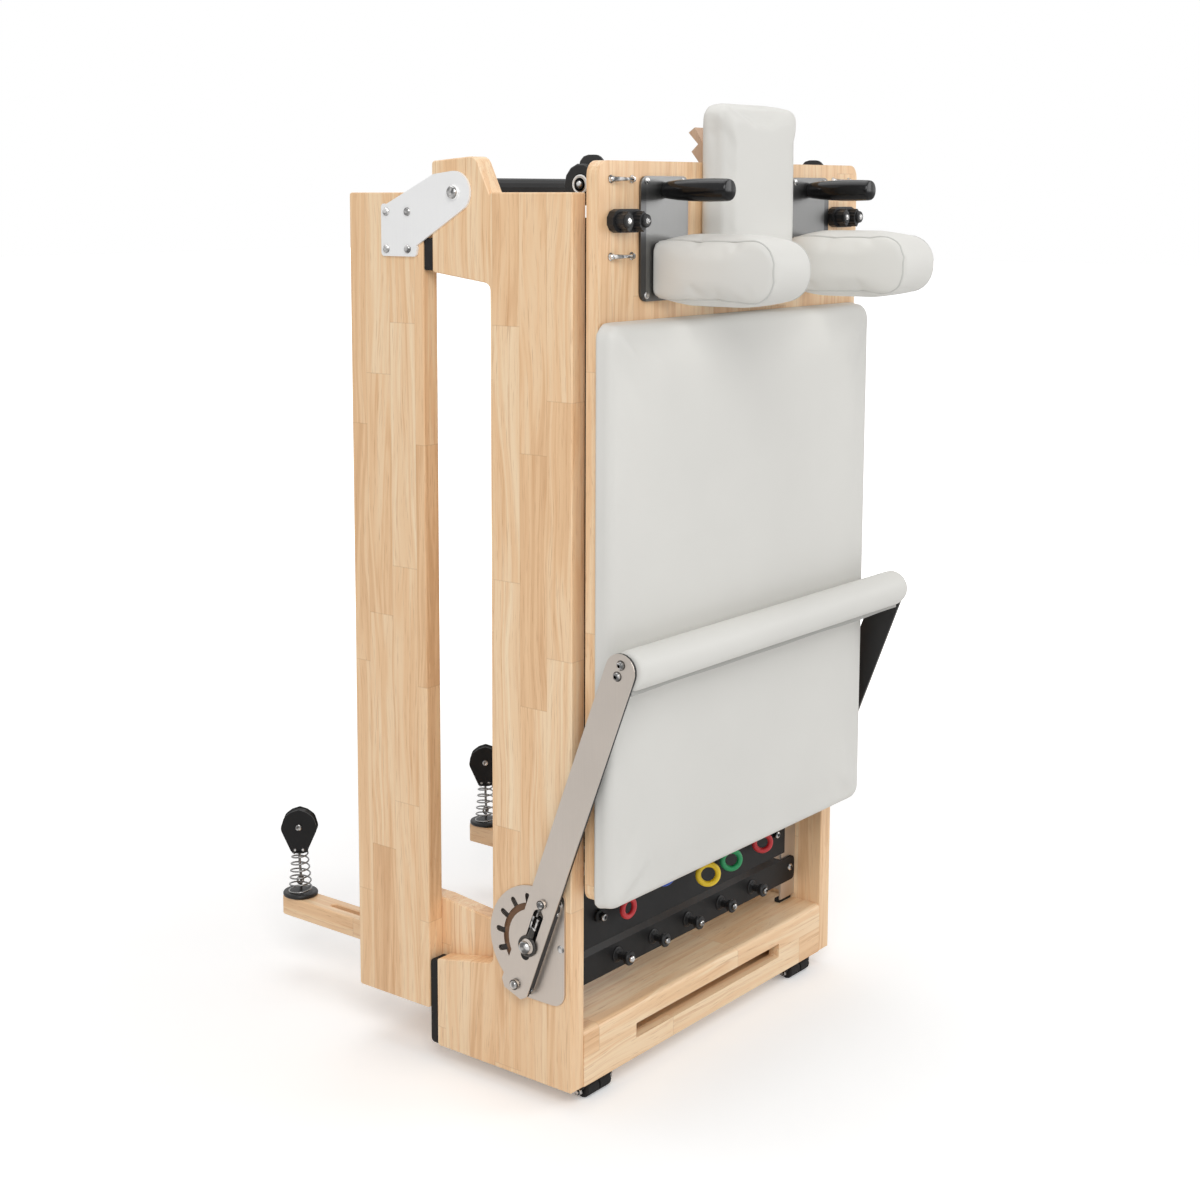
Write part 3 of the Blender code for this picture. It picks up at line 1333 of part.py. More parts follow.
def build_head_half(root):
    fold = empty("fold_axis", root, (0, PIVOT_Y, PIVOT_Z))
    head_end_frame(fold)
    for word, side in SIDES.items():
        head_rail(f"head_rail_{word}", side, fold)
        hinge_plate(f"hinge_plate_{word}", side, fold)
        slide = empty(f"riser_slide_{word}", fold, (side * RISER_X, RISER_START, riser_base()))
        riser_arm(f"riser_arm_{word}", side, slide)
        riser_knob(f"riser_knob_{word}", side, empty(f"knob_axis_{word}", fold,
                                                    (side * RISER_X, KNOB_Y, riser_top())))
        pulley_spring(f"pulley_spring_{word}", side, slide)
        swivel = empty(f"pulley_swivel_{word}", slide, (side * RISER_X, PULLEY_Y, block_floor()))
        pulley_block(f"pulley_block_{word}", side, swivel)
        turn = empty(f"sheave_axis_{word}", swivel, (side * RISER_X, PULLEY_Y, sheave_z()))
        pulley_sheave(f"pulley_sheave_{word}", side, turn)


def build_carriage(root):
    carriage = empty("carriage_travel", root, (0, wheel_center_y(), CARRIAGE_BOTTOM))
    carriage_board(carriage)
    main_pad(carriage)
    spring_bar(carriage)
    for i, (name, color) in enumerate(RING_COLORS):
        spring(name, i, color, carriage)
    tilt = empty("headrest_axis", carriage, headrest_hinge())
    headrest_board(tilt)
    headrest_pad(tilt)
    headrest_prop(empty("prop_axis", tilt, (0, *prop_hinge())))
    for word, side in SIDES.items():
        shoulder_bracket(f"shoulder_bracket_{word}", side, carriage)
        shoulder_handle(f"shoulder_handle_{word}", side, carriage)
        shoulder_pad(f"shoulder_pad_{word}", side, carriage)
        rope_cleat(f"rope_cleat_{word}", side, carriage)
        for place, edge in (("outer", -1), ("inner", 1)):
            spot = (-side * (-CLEAT_X + edge * CAM_SPREAD / 2), PAD_BACK, CLEAT_Z)
            axis = empty(f"cam_axis_{place}_{word}", carriage, spot)
            cleat_cam(f"cleat_cam_{place}_{word}", side, edge, axis)
        for place, height in (("top", WHEEL_TOP_Z), ("low", WHEEL_LOW_Z)):
            spot = (side * -wheel_center_x(), wheel_center_y(), height)
            axis = empty(f"wheel_axis_{place}_{word}", carriage, spot)
            carriage_wheel(f"carriage_wheel_{place}_{word}", side, height, axis)


def build_footbar(root):
    swing = empty("footbar_swing", root, (0, BAR_PIVOT_Y, BAR_PIVOT_Z))
    lift = empty("footbar_lift", swing, (0, BAR_PIVOT_Y, BAR_PIVOT_Z))
    footbar_roll(lift)
    for word, side in SIDES.items():
        footbar_hub(f"footbar_hub_{word}", side, swing)
        footbar_arm(f"footbar_arm_{word}", side, lift)


def depth_limits():
    """Least and greatest Y of the pieces as they stand."""
    graph = bpy.context.evaluated_depsgraph_get()
    reach = []
    for item in bpy.data.objects:
        if item.type == "MESH" and not item.hide_render:
            shape = item.evaluated_get(graph)
            reach += [(shape.matrix_world @ Vector(corner)).y for corner in shape.bound_box]
    return min(reach), max(reach)


def main():
    for item in list(bpy.data.objects):
        bpy.data.objects.remove(item, do_unlink=True)
    root = empty("reformer", None, (0, 0, 0))
    build_foot_half(root)
    build_head_half(root)
    build_carriage(root)
    build_footbar(root)
    bpy.context.view_layer.update()
    front, back = depth_limits()
    root.location = (0, -(front + back) / 2, FOOT_HEIGHT)
    bpy.context.view_layer.update()


main()
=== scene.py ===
# Folding pilates reformer, standing folded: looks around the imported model
import math
import random

import bmesh
import bpy
from mathutils import Matrix, Vector
from mathutils.bvhtree import BVHTree


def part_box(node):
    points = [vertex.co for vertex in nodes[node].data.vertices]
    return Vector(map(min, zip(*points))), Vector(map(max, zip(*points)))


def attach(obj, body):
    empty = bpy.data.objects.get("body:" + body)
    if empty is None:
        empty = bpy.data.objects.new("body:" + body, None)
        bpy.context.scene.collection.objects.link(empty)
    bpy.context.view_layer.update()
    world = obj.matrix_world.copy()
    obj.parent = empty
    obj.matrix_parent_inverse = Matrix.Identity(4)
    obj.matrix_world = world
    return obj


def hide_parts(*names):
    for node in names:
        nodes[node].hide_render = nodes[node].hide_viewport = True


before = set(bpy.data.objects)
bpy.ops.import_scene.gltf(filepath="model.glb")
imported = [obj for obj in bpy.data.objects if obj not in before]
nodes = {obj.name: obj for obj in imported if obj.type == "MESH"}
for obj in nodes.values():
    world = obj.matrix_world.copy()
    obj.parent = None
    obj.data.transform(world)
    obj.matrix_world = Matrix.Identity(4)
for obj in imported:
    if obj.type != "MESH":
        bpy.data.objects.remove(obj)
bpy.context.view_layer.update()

toWorld = Vector((0, -0.2203846, 0.027))  # rail frame (front plane of the rails, underside of the wood) to world


def at(x, y, z):
    return Vector((x, y, z)) + toWorld


def placed(name, data):
    made = bpy.data.objects.new(name, data)
    bpy.context.collection.objects.link(made)
    return made


# Shader maths as expressions: a socket that takes + - * and friends
class Sock:
    def __init__(self, tree, out):
        self.tree = tree
        self.out = out

    def node(self, kind, settings=None, inputs=None, output=0):
        made = self.tree.nodes.new(kind)
        for key, value in (settings or {}).items():
            if key == "ramp":
                fillRamp(made.color_ramp, value)
            else:
                setattr(made, key, value)
        for key, value in (inputs or {}).items():
            socket = made.inputs[key]
            if isinstance(value, Sock):
                self.tree.links.new(value.out, socket)
            else:
                socket.default_value = value
        return Sock(self.tree, made.outputs[output])

    def math(self, operation, other=0.0, clamp=False):
        return self.node("ShaderNodeMath", {"operation": operation, "use_clamp": clamp}, {0: self, 1: other})

    def __add__(self, other):
        return self.math("ADD", other)

    __radd__ = __add__

    def __sub__(self, other):
        return self.math("SUBTRACT", other)

    def __rsub__(self, other):
        return (self * -1.0) + other

    def __mul__(self, other):
        return self.math("MULTIPLY", other)

    __rmul__ = __mul__

    def __truediv__(self, other):
        return self.math("DIVIDE", other)

    def __abs__(self):
        return self.math("ABSOLUTE")

    def floor(self):
        return self.math("FLOOR")

    def above(self, value):
        return self.math("GREATER_THAN", value)

    def below(self, value):
        return self.math("LESS_THAN", value)

    def clamped(self):
        return self.math("ADD", 0.0, clamp=True)

    def ramp(self, low, high, start=0.0, end=1.0):  # smooth remap from low..high to start..end
        return self.node("ShaderNodeMapRange", {"interpolation_type": "SMOOTHSTEP"},
                         {0: self, 1: low, 2: high, 3: start, 4: end})

    def noise(self, scale, detail=2.0, roughness=0.5, distortion=0.0):
        return self.node("ShaderNodeTexNoise", {},
                         {"Vector": self, "Scale": scale, "Detail": detail, "Roughness": roughness,
                          "Distortion": distortion})

    def split(self):
        first = self.node("ShaderNodeSeparateXYZ", {}, {0: self})
        return [Sock(self.tree, out) for out in first.out.node.outputs]

    def mix(self, first, second):  # self is the factor, first and second are colours
        return self.node("ShaderNodeMix", {"data_type": "RGBA"}, {0: self, 6: first, 7: second}, 2)


def fillRamp(ramp, stops):
    while len(ramp.elements) > 1:
        ramp.elements.remove(ramp.elements[-1])
    for i, (place, color) in enumerate(stops):
        stop = ramp.elements[0] if i == 0 else ramp.elements.new(place)
        stop.position = place
        stop.color = (*color, 1.0)


def combine(x, y, z):
    return x.node("ShaderNodeCombineXYZ", {}, {0: x, 1: y, 2: z})


def rgba(color, factor=1.0, lift=0.0):
    return (*(min(1, c * factor + lift) for c in color), 1.0)


finish = {}


def newFinish(name):
    made = finish[name] = bpy.data.materials.new(name)
    made.use_nodes = True
    shader = made.node_tree.nodes["Principled BSDF"]
    place = made.node_tree.nodes.new("ShaderNodeTexCoord")
    return made, shader, Sock(made.node_tree, place.outputs["Object"])


def wire(made, shader, color, roughness, metallic=None, bump=None, others=()):
    tree = made.node_tree
    for socket, value in (("Base Color", color), ("Roughness", roughness), ("Metallic", metallic), *others):
        if isinstance(value, Sock):
            tree.links.new(value.out, shader.inputs[socket])
        elif value is not None:
            shader.inputs[socket].default_value = value
    if bump:
        height, distance, strength = bump
        node = height.node("ShaderNodeBump", {}, {"Height": height, "Distance": distance, "Strength": strength})
        tree.links.new(node.out, shader.inputs["Normal"])


# Rubberwood: glued strips of short finger-jointed blocks, each its own tone, with fine pores along the grain
woodLook = {
    "pale": (0.965, 0.76, 0.515), "mid": (0.88, 0.585, 0.335), "dark": (0.64, 0.35, 0.162),
    "streak": (0.68, 0.36, 0.162), "pore": (0.45, 0.218, 0.092), "strip": 0.046, "block": 0.34, "roughness": 0.44,
}


def woodFinish(name, grain, across, shift=0.0, masks=(), tint=None, upright=None):
    made, shader, here = newFinish(name)
    axes = here.split()
    order = "XYZ"
    along = axes[order.index(grain)] + shift
    side = axes[order.index(across)] + shift * 0.37
    third = axes[[i for i in range(3) if order[i] not in (grain, across)][0]]
    if upright:  # boards of the same piece whose grain runs up
        cover = upright(axes)
        along, third = along + (third - along) * cover, third + (along - third) * cover
    strips = side / woodLook["strip"]
    strip = strips.floor()
    blocks = along / woodLook["block"] + (strip * 0.61803).math("FRACT") * 7.3
    key = combine(strip * 3.17 + 0.5, blocks.floor() * 5.31 + 0.5, strip * 0.7)
    tone = key.node("ShaderNodeTexWhiteNoise", {"noise_dimensions": "3D"}, {"Vector": key}, 0)
    offset = tone * 9.0
    sway = combine(along * 2.2 + offset, side * 7.0 + offset, third * 7.0).noise(1.0, 2.0, 0.5)
    side = side + (sway - 0.5) * 0.055
    stretched = combine(along * 1.3 + offset, side * 26.0 + offset, third * 26.0)
    figure = stretched.noise(1.0, 3.0, 0.55, 0.9)
    rings = (side * 170.0 + figure * 30.0 + third * 90.0 + offset * 6.0).math("SINE") * 0.5 + 0.5
    lines = combine(along * 2.6 + offset, side * 190.0 + figure * 5.0, third * 190.0).noise(1.0, 3.0, 0.65)
    pores = combine(along * 22.0 + offset, side * 760.0, third * 760.0).noise(1.0, 2.0, 0.6)
    seam = abs(strips.math("FRACT") - 0.5).ramp(0.485, 0.499)
    ends = abs(blocks.math("FRACT") - 0.5).ramp(0.4965, 0.4995)
    shade = (tone * 0.3 + figure * 0.46 + rings * 0.22 - 0.06).clamped()
    color = shade.node("ShaderNodeValToRGB", {"ramp": [(0.12, woodLook["pale"]), (0.5, woodLook["mid"]),
                                                       (0.95, woodLook["dark"])]}, {0: shade})
    color = (lines.ramp(0.52, 0.72) * (figure * 0.9 + 0.05)).mix(color, rgba(woodLook["streak"]))
    color = (pores.ramp(0.57, 0.72) * 0.42).mix(color, rgba(woodLook["pore"]))
    color = ((seam * 0.16 + ends * 0.2).clamped()).mix(color, rgba((0.36, 0.2, 0.09)))
    if tint:
        color = (figure * 0.5 + 0.45).clamped().mix(color, rgba(tint))
    rough = pores * 0.16 + (woodLook["roughness"] - 0.08)
    metal = None
    for mask, maskColor, maskRough, maskMetal in masks:
        cover = mask(axes)
        color = cover.mix(color, rgba(maskColor))
        rough = rough * (1 - cover) + cover * maskRough
        metal = cover * maskMetal if metal is None else metal * (1 - cover) + cover * maskMetal
    height = pores * -0.6 + rings * 0.12 - seam * 0.5 - ends * 0.4
    wire(made, shader, color, rough, metal, (height, 0.0003, 0.35), [("Coat Weight", 0.14), ("Coat Roughness", 0.32)])


def vinylFinish(name, color=(0.7, 0.69, 0.655), roughness=0.5):  # smooth upholstery with a fine pebbled grain
    made, shader, here = newFinish(name)
    pebble = here.node("ShaderNodeTexVoronoi", {"feature": "F1"}, {"Vector": here, "Scale": 900.0}, 0)
    cloud = here.noise(3.0, 3.0, 0.5)
    fine = here.noise(240.0, 2.0, 0.6)
    mixed = cloud.ramp(0.3, 0.7).mix(rgba(color, 0.965), rgba(color, 1.02))
    wire(made, shader, mixed, fine * 0.1 + (roughness - 0.05) + cloud * 0.05, None,
                (pebble * 0.7 + fine * 0.6, 0.00025, 0.3))


def steelFinish(name, tone, roughness=0.36, masks=(), metallic=1.0):  # brushed along Z
    made, shader, here = newFinish(name)
    axes = here.split()
    brush = combine(*[axis * size for axis, size in zip(axes, (1400.0, 1400.0, 9.0))]).noise(1.0, 3.0, 0.65)
    smudge = here.noise(9.0, 3.0, 0.6)
    color = (brush * 0.55 + smudge * 0.35).clamped().mix(rgba(tone, 0.86), rgba(tone, 1.1))
    rough = brush * 0.16 + smudge * 0.08 + (roughness - 0.1)
    metal = None
    for mask, maskColor, maskRough, maskMetal in masks:
        cover = mask(axes)
        color = cover.mix(color, rgba(maskColor))
        rough = rough * (1 - cover) + cover * maskRough
        metal = 1 - cover * (1 - maskMetal)
    wire(made, shader, color, rough, metallic if metal is None else metal, (brush, 0.0001, 0.25))


def plainMetal(name, tone, roughness, scale):  # turned or drawn metal with faint handling marks
    made, shader, here = newFinish(name)
    marks = here.noise(scale, 4.0, 0.6)
    color = marks.mix(rgba(tone, 0.88), rgba(tone, 1.08))
    wire(made, shader, color, marks * 0.14 + (roughness - 0.06), 1.0, (marks, 0.00008, 0.2))


def blackFinish(name, tone, roughness, scale, bump, strength=0.3, sheen=0.22):  # coat, moulded plastic and rubber
    made, shader, here = newFinish(name)
    grain = here.noise(scale, 2.0, 0.55)
    wear = here.noise(14.0, 4.0, 0.6)
    color = wear.ramp(0.35, 0.75).mix(rgba(tone), rgba(tone, 1.5, 0.002))
    wire(made, shader, color, grain * 0.12 + wear * 0.08 + (roughness - 0.1), None, (grain, bump, strength),
         [("Specular IOR Level", sheen)])


def colorPlastic(name, tone):  # dipped ring on a spring's free end
    made, shader, here = newFinish(name)
    cloud = here.noise(90.0, 3.0, 0.5)
    color = cloud.mix(rgba(tone, 0.86), rgba(tone, 1.06))
    wire(made, shader, color, cloud * 0.12 + 0.36, None, (cloud, 0.0002, 0.2))


def chromeFinish(name, dark, light, roughness):  # polished metal with painted reflections: dark and light patches, as if it mirrored a room
    made, shader, here = newFinish(name)
    reflectionPatches = here.noise(120.0, 1.0, 0.5, 0.2)
    color = reflectionPatches.ramp(0.3, 0.66).mix(rgba(dark), rgba(light))
    wire(made, shader, color, reflectionPatches * 0.1 + (roughness - 0.05), 1.0)


# Where a finish changes within one piece, and where painted shade lies on it, in world metres
limits = {"armLiner": (0.3374, 0.3478), "flange": 0.2212, "flangeFade": (1.262, 1.18), "ratchet": (-0.1603846, 0.226),
          "railFace": 0.3315, "railFront": -0.2095, "groove": 0.055, "notches": 0.071, "boardBack": -0.2319,
          "boardTop": 1.2671, "trackWall": 0.30375, "platformFoot": 0.0266, "crossLegs": 0.2755}


def armLiner(axes):
    low, high = limits["armLiner"]
    return abs(axes[0]).above(low) * abs(axes[0]).below(high)


def bracketShade(axes):  # painted shade on the outer flange, paler towards its top
    return axes[2].ramp(*limits["flangeFade"], 0.0, 0.9) * abs(axes[0]).above(limits["flange"])


def ratchetReach(axes):
    y, z = axes[1] - limits["ratchet"][0], axes[2] - limits["ratchet"][1]
    return (y * y + z * z).math("SQRT")


def underPlate(axes):
    return abs(axes[0]).above(limits["railFace"]) * axes[1].above(limits["railFront"])


# painted shade: the wood round the pivot, seen through the ratchet plate's window, is shown dark brown
def paintedGrooveShade(axes):
    return ratchetReach(axes).below(limits["groove"]) * underPlate(axes)


# painted shade: the notches of the ratchet window are shown black
def paintedNotchShade(axes):
    reach = ratchetReach(axes)
    return reach.above(limits["groove"]) * reach.below(limits["notches"]) * underPlate(axes)


def behindBoardShade(axes):  # painted shade: the brackets and blocks behind the board are black as the carriage's shaded underside, and what stands above its top is black too
    return (axes[1].above(limits["boardBack"]) + axes[2].above(limits["boardTop"])).clamped()


def trackWall(axes):
    return abs(axes[0]).below(limits["trackWall"])


def platformFoot(axes):
    return axes[2].below(limits["platformFoot"])


def crossLegs(axes):
    return abs(axes[0]).above(limits["crossLegs"])


blackFinish("blackPowderCoat", (0.009, 0.009, 0.0095), 0.5, 900.0, 0.0001)
blackFinish("blackPlastic", (0.011, 0.011, 0.0115), 0.42, 500.0, 0.0001, 0.3, 0.35)
blackFinish("glossGrip", (0.004, 0.004, 0.0044), 0.16, 60.0, 0.00001, 0.05, 0.28)
blackFinish("rubber", (0.015, 0.0145, 0.0145), 0.72, 320.0, 0.0003, 0.4)
vinylFinish("vinyl")
chromeFinish("brightSteel", (0.13, 0.13, 0.13), (0.7, 0.69, 0.68), 0.2)
vinylFinish("whitePlastic", (0.8, 0.8, 0.79), 0.38)
plainMetal("darkZinc", (0.085, 0.08, 0.075), 0.34, 120.0)
plainMetal("zincPlate", (0.5, 0.46, 0.42), 0.3, 120.0)
plainMetal("springWire", (0.27, 0.265, 0.26), 0.26, 160.0)
steelFinish("aluminium", (0.62, 0.6, 0.58))
steelFinish("armSteel", (0.66, 0.595, 0.535), masks=[(armLiner, (0.012, 0.012, 0.013), 0.5, 0.0)])
steelFinish("plateSteel", (0.66, 0.595, 0.535))
steelFinish("hingeSteel", (0.97, 0.97, 0.965), metallic=0.1)
# bracket steel with painted shade on its outer flange
steelFinish("bracketSteel", (0.225, 0.225, 0.222), 0.3,
            [(bracketShade, (0.085, 0.085, 0.088), 0.28, 1.0)])
vinylFinish("seamThread", (0.4, 0.395, 0.375), 0.62)
vinylFinish("piping", (0.56, 0.555, 0.53), 0.58)
# rail wood with painted shade in the ratchet window: dark brown round the pivot, black in the notches
woodFinish("railWood", "Z", "Y", 0.11, [(paintedGrooveShade, (0.15, 0.07, 0.028), 0.6, 0.0),
                                        (paintedNotchShade, (0.014, 0.009, 0.006), 0.6, 0.0)])
woodFinish("headRailWood", "Z", "Y", 0.23, [(trackWall, (0.7, 0.7, 0.695), 0.36, 1.0)])
woodFinish("boardWood", "Z", "X", 0.41, [(behindBoardShade, (0.009, 0.009, 0.01), 0.5, 0.0)])
woodFinish("headrestWood", "Z", "X", 0.63)
woodFinish("propWood", "Z", "X", 0.29, tint=(0.46, 0.29, 0.215))
woodFinish("crossWood", "X", "Y", 0.07, upright=crossLegs)
woodFinish("platformWood", "X", "Z", 0.19, [(platformFoot, (0.01, 0.01, 0.011), 0.6, 0.0)])
woodFinish("armWood", "Y", "X", 0.02)
colorPlastic("redRing", (0.62, 0.03, 0.04))
colorPlastic("blueRing", (0.03, 0.1, 0.52))
colorPlastic("yellowRing", (0.88, 0.62, 0.02))
colorPlastic("greenRing", (0.02, 0.36, 0.13))

# What each piece of the frame is finished in; a name that ends in _ is a left and a right one
nodeFinish = {
    "railWood": "foot_rail_", "headRailWood": "head_rail_", "boardWood": "carriage_board",
    "headrestWood": "headrest_board", "propWood": "headrest_prop", "crossWood": "head_end_frame",
    "platformWood": "platform", "armWood": "riser_arm_", "hingeSteel": "hinge_plate_",
    "plateSteel": "ratchet_plate_", "armSteel": "footbar_arm_", "bracketSteel": "shoulder_bracket_",
    "aluminium": "track_", "glossGrip": "shoulder_handle_", "rubber": "leg_pad_ transport_roller_ footbar_roll",
    "vinyl": "main_pad headrest_pad shoulder_pad_",
    "blackPowderCoat": "gear_bar hinge_tube spring_bar footbar_hub_ pulley_block_",
    "blackPlastic": "riser_knob_ rope_cleat_ cleat_cam_outer_ cleat_cam_inner_ carriage_wheel_top_ "
                    "carriage_wheel_low_ pulley_sheave_",
    "springWire": "pulley_spring_ spring_red_ spring_blue spring_yellow spring_green",
}
for kind, words in nodeFinish.items():
    for word in words.split():
        for name in (word + "left", word + "right") if word.endswith("_") else (word,):
            for slot in nodes[name].material_slots:
                slot.material = finish[kind]
print("frame finished:", len(nodes), "nodes")


def facing(direction, place, roll=0.0):  # a matrix that turns +Z to a direction and moves to a place
    turn = Vector(direction).to_track_quat("Z", "Y").to_matrix().to_4x4()
    return Matrix.Translation(place) @ turn @ Matrix.Rotation(roll, 4, "Z")


def turnedForm(bm, rings, matrix, segments=24):  # a cap face carried up through (radius, height) rings
    radius, height = rings[0]
    made = bmesh.ops.create_circle(bm, cap_ends=True, radius=radius, segments=segments)
    fresh = set(made["verts"])
    cap = next(face for face in bm.faces if all(v in fresh for v in face.verts))
    bmesh.ops.translate(bm, verts=list(fresh), vec=(0, 0, height))
    for nextRadius, nextHeight in rings[1:]:
        grown = bmesh.ops.extrude_face_region(bm, geom=[cap])["geom"]
        cap = next(item for item in grown if isinstance(item, bmesh.types.BMFace))
        ring = list(cap.verts)
        fresh.update(ring)
        bmesh.ops.scale(bm, verts=ring, vec=(nextRadius / radius, nextRadius / radius, 1))
        bmesh.ops.translate(bm, verts=ring, vec=(0, 0, nextHeight - height))
        radius, height = nextRadius, nextHeight
    bmesh.ops.transform(bm, matrix=matrix, verts=list(fresh))
    return fresh


def softened(bm, edges, offset, segments):
    return bmesh.ops.bevel(bm, geom=edges, offset=offset, offset_type="OFFSET", affect="EDGES", segments=segments,
                           profile=0.5, material=-1)


def blockForm(bm, size, matrix, edge):  # a box with softened edges
    verts = bmesh.ops.create_cube(bm, size=1.0)["verts"]
    bmesh.ops.scale(bm, verts=verts, vec=size)
    soft = softened(bm, list({e for v in verts for e in v.link_edges}), edge, 2)
    verts = list({v for face in soft["faces"] for v in face.verts} | {v for v in verts if v.is_valid})
    bmesh.ops.transform(bm, matrix=matrix, verts=verts)


def boxBetween(low, high):
    bm = bmesh.new()
    bmesh.ops.create_cube(bm, size=1.0)
    bmesh.ops.scale(bm, verts=bm.verts, vec=high - low)
    bmesh.ops.translate(bm, verts=bm.verts, vec=(low + high) / 2)
    return bm


def rimEdges(ring):
    inside = set(ring)
    return list({e for v in ring for e in v.link_edges if e.verts[0] in inside and e.verts[1] in inside})


def wireForm(bm, points, radius, segments=8):  # a capped round wire along points; its radius may vary along it
    last = len(points) - 1
    normal = None
    rings = []
    for i, point in enumerate(points):
        along = (points[min(i + 1, last)] - points[max(i - 1, 0)]).normalized()
        if normal is None:
            normal = along.orthogonal().normalized()
        normal = (normal - along * normal.dot(along)).normalized()
        size = radius(i / len(points)) if callable(radius) else radius
        made = bmesh.ops.create_circle(bm, cap_ends=False, radius=size, segments=segments)["verts"]
        side = along.cross(normal)
        turn = Matrix((normal, side, along)).transposed().to_4x4()
        bmesh.ops.transform(bm, matrix=Matrix.Translation(point) @ turn, verts=made)
        rings.append(made)
    for first, second in zip(rings, rings[1:]):
        bmesh.ops.bridge_loops(bm, edges=rimEdges(first) + rimEdges(second))
    for ring in (rings[0], rings[-1]):
        bmesh.ops.contextual_create(bm, geom=rimEdges(ring))


def newPiece(name, bm, body, kind, sharp=30.0, stands=()):
    bmesh.ops.remove_doubles(bm, verts=bm.verts, dist=0.000005)
    bmesh.ops.recalc_face_normals(bm, faces=bm.faces)
    for face in bm.faces:
        face.smooth = True
    mesh = bpy.data.meshes.new(name)
    bm.to_mesh(mesh)
    bm.free()
    mesh.set_sharp_from_angle(angle=math.radians(sharp))
    mesh.materials.append(finish[kind])
    settle(placed(name, mesh), body, stands)


def settle(piece, body, stands):
    if stands:
        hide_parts(*stands)
    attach(piece, body)


def sideAt(side, x, y, z):  # a point on the left or on the right, x away from the middle
    return at(x if side == "right" else -x, y, z)


# Cushions: a soft cover blown up a little over foam, flat where it rests on its board
coverCloth = {"frames": 20, "quality": 5, "mass": 0.3, "tension_stiffness": 15, "compression_stiffness": 15,
              "bending_stiffness": 1.5}


def puffed(name, bm, look, held):
    bmesh.ops.recalc_face_normals(bm, faces=bm.faces)
    mesh = bpy.data.meshes.new(name)
    bm.to_mesh(mesh)
    bm.free()
    rough = placed(name + "Form", mesh)
    fine = rough.modifiers.new("voxels", "REMESH")
    fine.mode = "VOXEL"
    fine.voxel_size = look["voxel"]
    even = rough.modifiers.new("even", "SMOOTH")
    even.factor, even.iterations = 0.5, 4
    skin = baked(rough, name)
    rest = [v.co.copy() for v in skin.data.vertices]
    fixed = [i for i, co in enumerate(rest) if held(co)]
    group = skin.vertex_groups.new(name="held")
    group.add(fixed, 1.0, "REPLACE")
    cloth = skin.modifiers.new("cover", "CLOTH")
    for setting in ("quality", "mass", "tension_stiffness", "compression_stiffness", "bending_stiffness"):
        setattr(cloth.settings, setting, coverCloth[setting])
    cloth.settings.use_pressure = True
    cloth.settings.uniform_pressure_force = look["pressure"]
    cloth.settings.vertex_group_mass = "held"
    cloth.settings.effector_weights.gravity = 0
    scene = bpy.context.scene
    for step in range(1, coverCloth["frames"] + 1):
        scene.frame_set(step)
    blown = skin.evaluated_get(bpy.context.evaluated_depsgraph_get()).data
    moved = [v.co.copy() for v in blown.vertices]
    skin.modifiers.clear()
    for v, start, end in zip(skin.data.vertices, rest, moved):
        shift = end - start
        if shift.length > look["cap"]:
            shift *= look["cap"] / shift.length
        v.co = start + shift
    scene.frame_set(1)
    skin.vertex_groups.clear()
    smooth = skin.modifiers.new("ease", "SMOOTH")
    smooth.factor, smooth.iterations = 0.5, 3
    split = skin.modifiers.new("split", "SUBSURF")
    split.levels = split.render_levels = 1
    done = baked(skin, name)
    for face in done.data.polygons:
        face.use_smooth = True
    return done


def baked(source, name):  # the shape with its modifiers made real, at the origin
    graph = bpy.context.evaluated_depsgraph_get()
    mesh = bpy.data.meshes.new_from_object(source.evaluated_get(graph))
    bpy.data.objects.remove(source)
    return placed(name, mesh)


def fitted(piece, low, high):  # brought back to the size that its foam is cut to
    points = [v.co for v in piece.data.vertices]
    for axis in range(3):
        least, most = min(p[axis] for p in points), max(p[axis] for p in points)
        grow = (high[axis] - low[axis]) / (most - least)
        for p in points:
            p[axis] = low[axis] + (p[axis] - least) * grow


def cushioned(piece, body, stands):
    piece.data.materials.clear()
    piece.data.materials.append(finish["vinyl"])
    settle(piece, body, stands)


# inset and corner shape the foam, grow is what the finished cover adds to the foam's box at its low and high corner
mainCushion = {"inset": 0.003, "corner": 0.024, "rim": 0.013, "cap": 0.004, "voxel": 0.006, "fill": 0.8,
               "pressure": 5.0, "held": 0.004, "grow": ((0.008, 0.0, 0.0045), (0.004, 0.0, 0.001))}
headCushion = {"inset": 0.003, "corner": 0.02, "rim": 0.009, "cap": 0.005, "voxel": 0.005, "fill": 0.8,
               "pressure": 5.0, "held": 0.004, "grow": ((0.002, 0.004, 0.0), (0.003, 0.0, 0.001))}
boardGap = Vector((0, 0.00005, 0))


def makeSlab(node, name, look, body):  # a pad that faces -Y: round corners, rolled front rim
    low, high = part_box(node)
    inset, front, back = look["inset"], low.y + look["inset"], high.y - look["held"]
    bm = boxBetween(low + Vector((inset, inset, inset)), high - Vector((inset, 0, inset)))
    softened(bm, [e for e in bm.edges if abs(e.verts[0].co.y - e.verts[1].co.y) > 0.001], look["corner"], 6)
    softened(bm, [e for e in bm.edges if all(abs(v.co.y - front) < 0.0001 for v in e.verts)], look["rim"], 4)
    piece = puffed(name, bm, look, lambda co: co.y > back)
    fitted(piece, low - Vector(look["grow"][0]), high + Vector(look["grow"][1]) - boardGap)
    cushioned(piece, body, [node])


makeSlab("main_pad", "mainCushion", mainCushion, "carriage")
makeSlab("headrest_pad", "headrestCushion", headCushion, "headrest")
print("flat cushions made")

shoulderCushion = {"inset": 0.003, "nose": 0.0375, "rim": 0.009, "cap": 0.006, "voxel": 0.0045, "fill": 0.7,
                   "seam": 0.0013, "seamInset": 0.01, "grow": (0.0, 0.0055, 0.0025), "taper": 0.12,
                   "taperLength": 0.045, "pressure": 6.0, "held": 0.003}


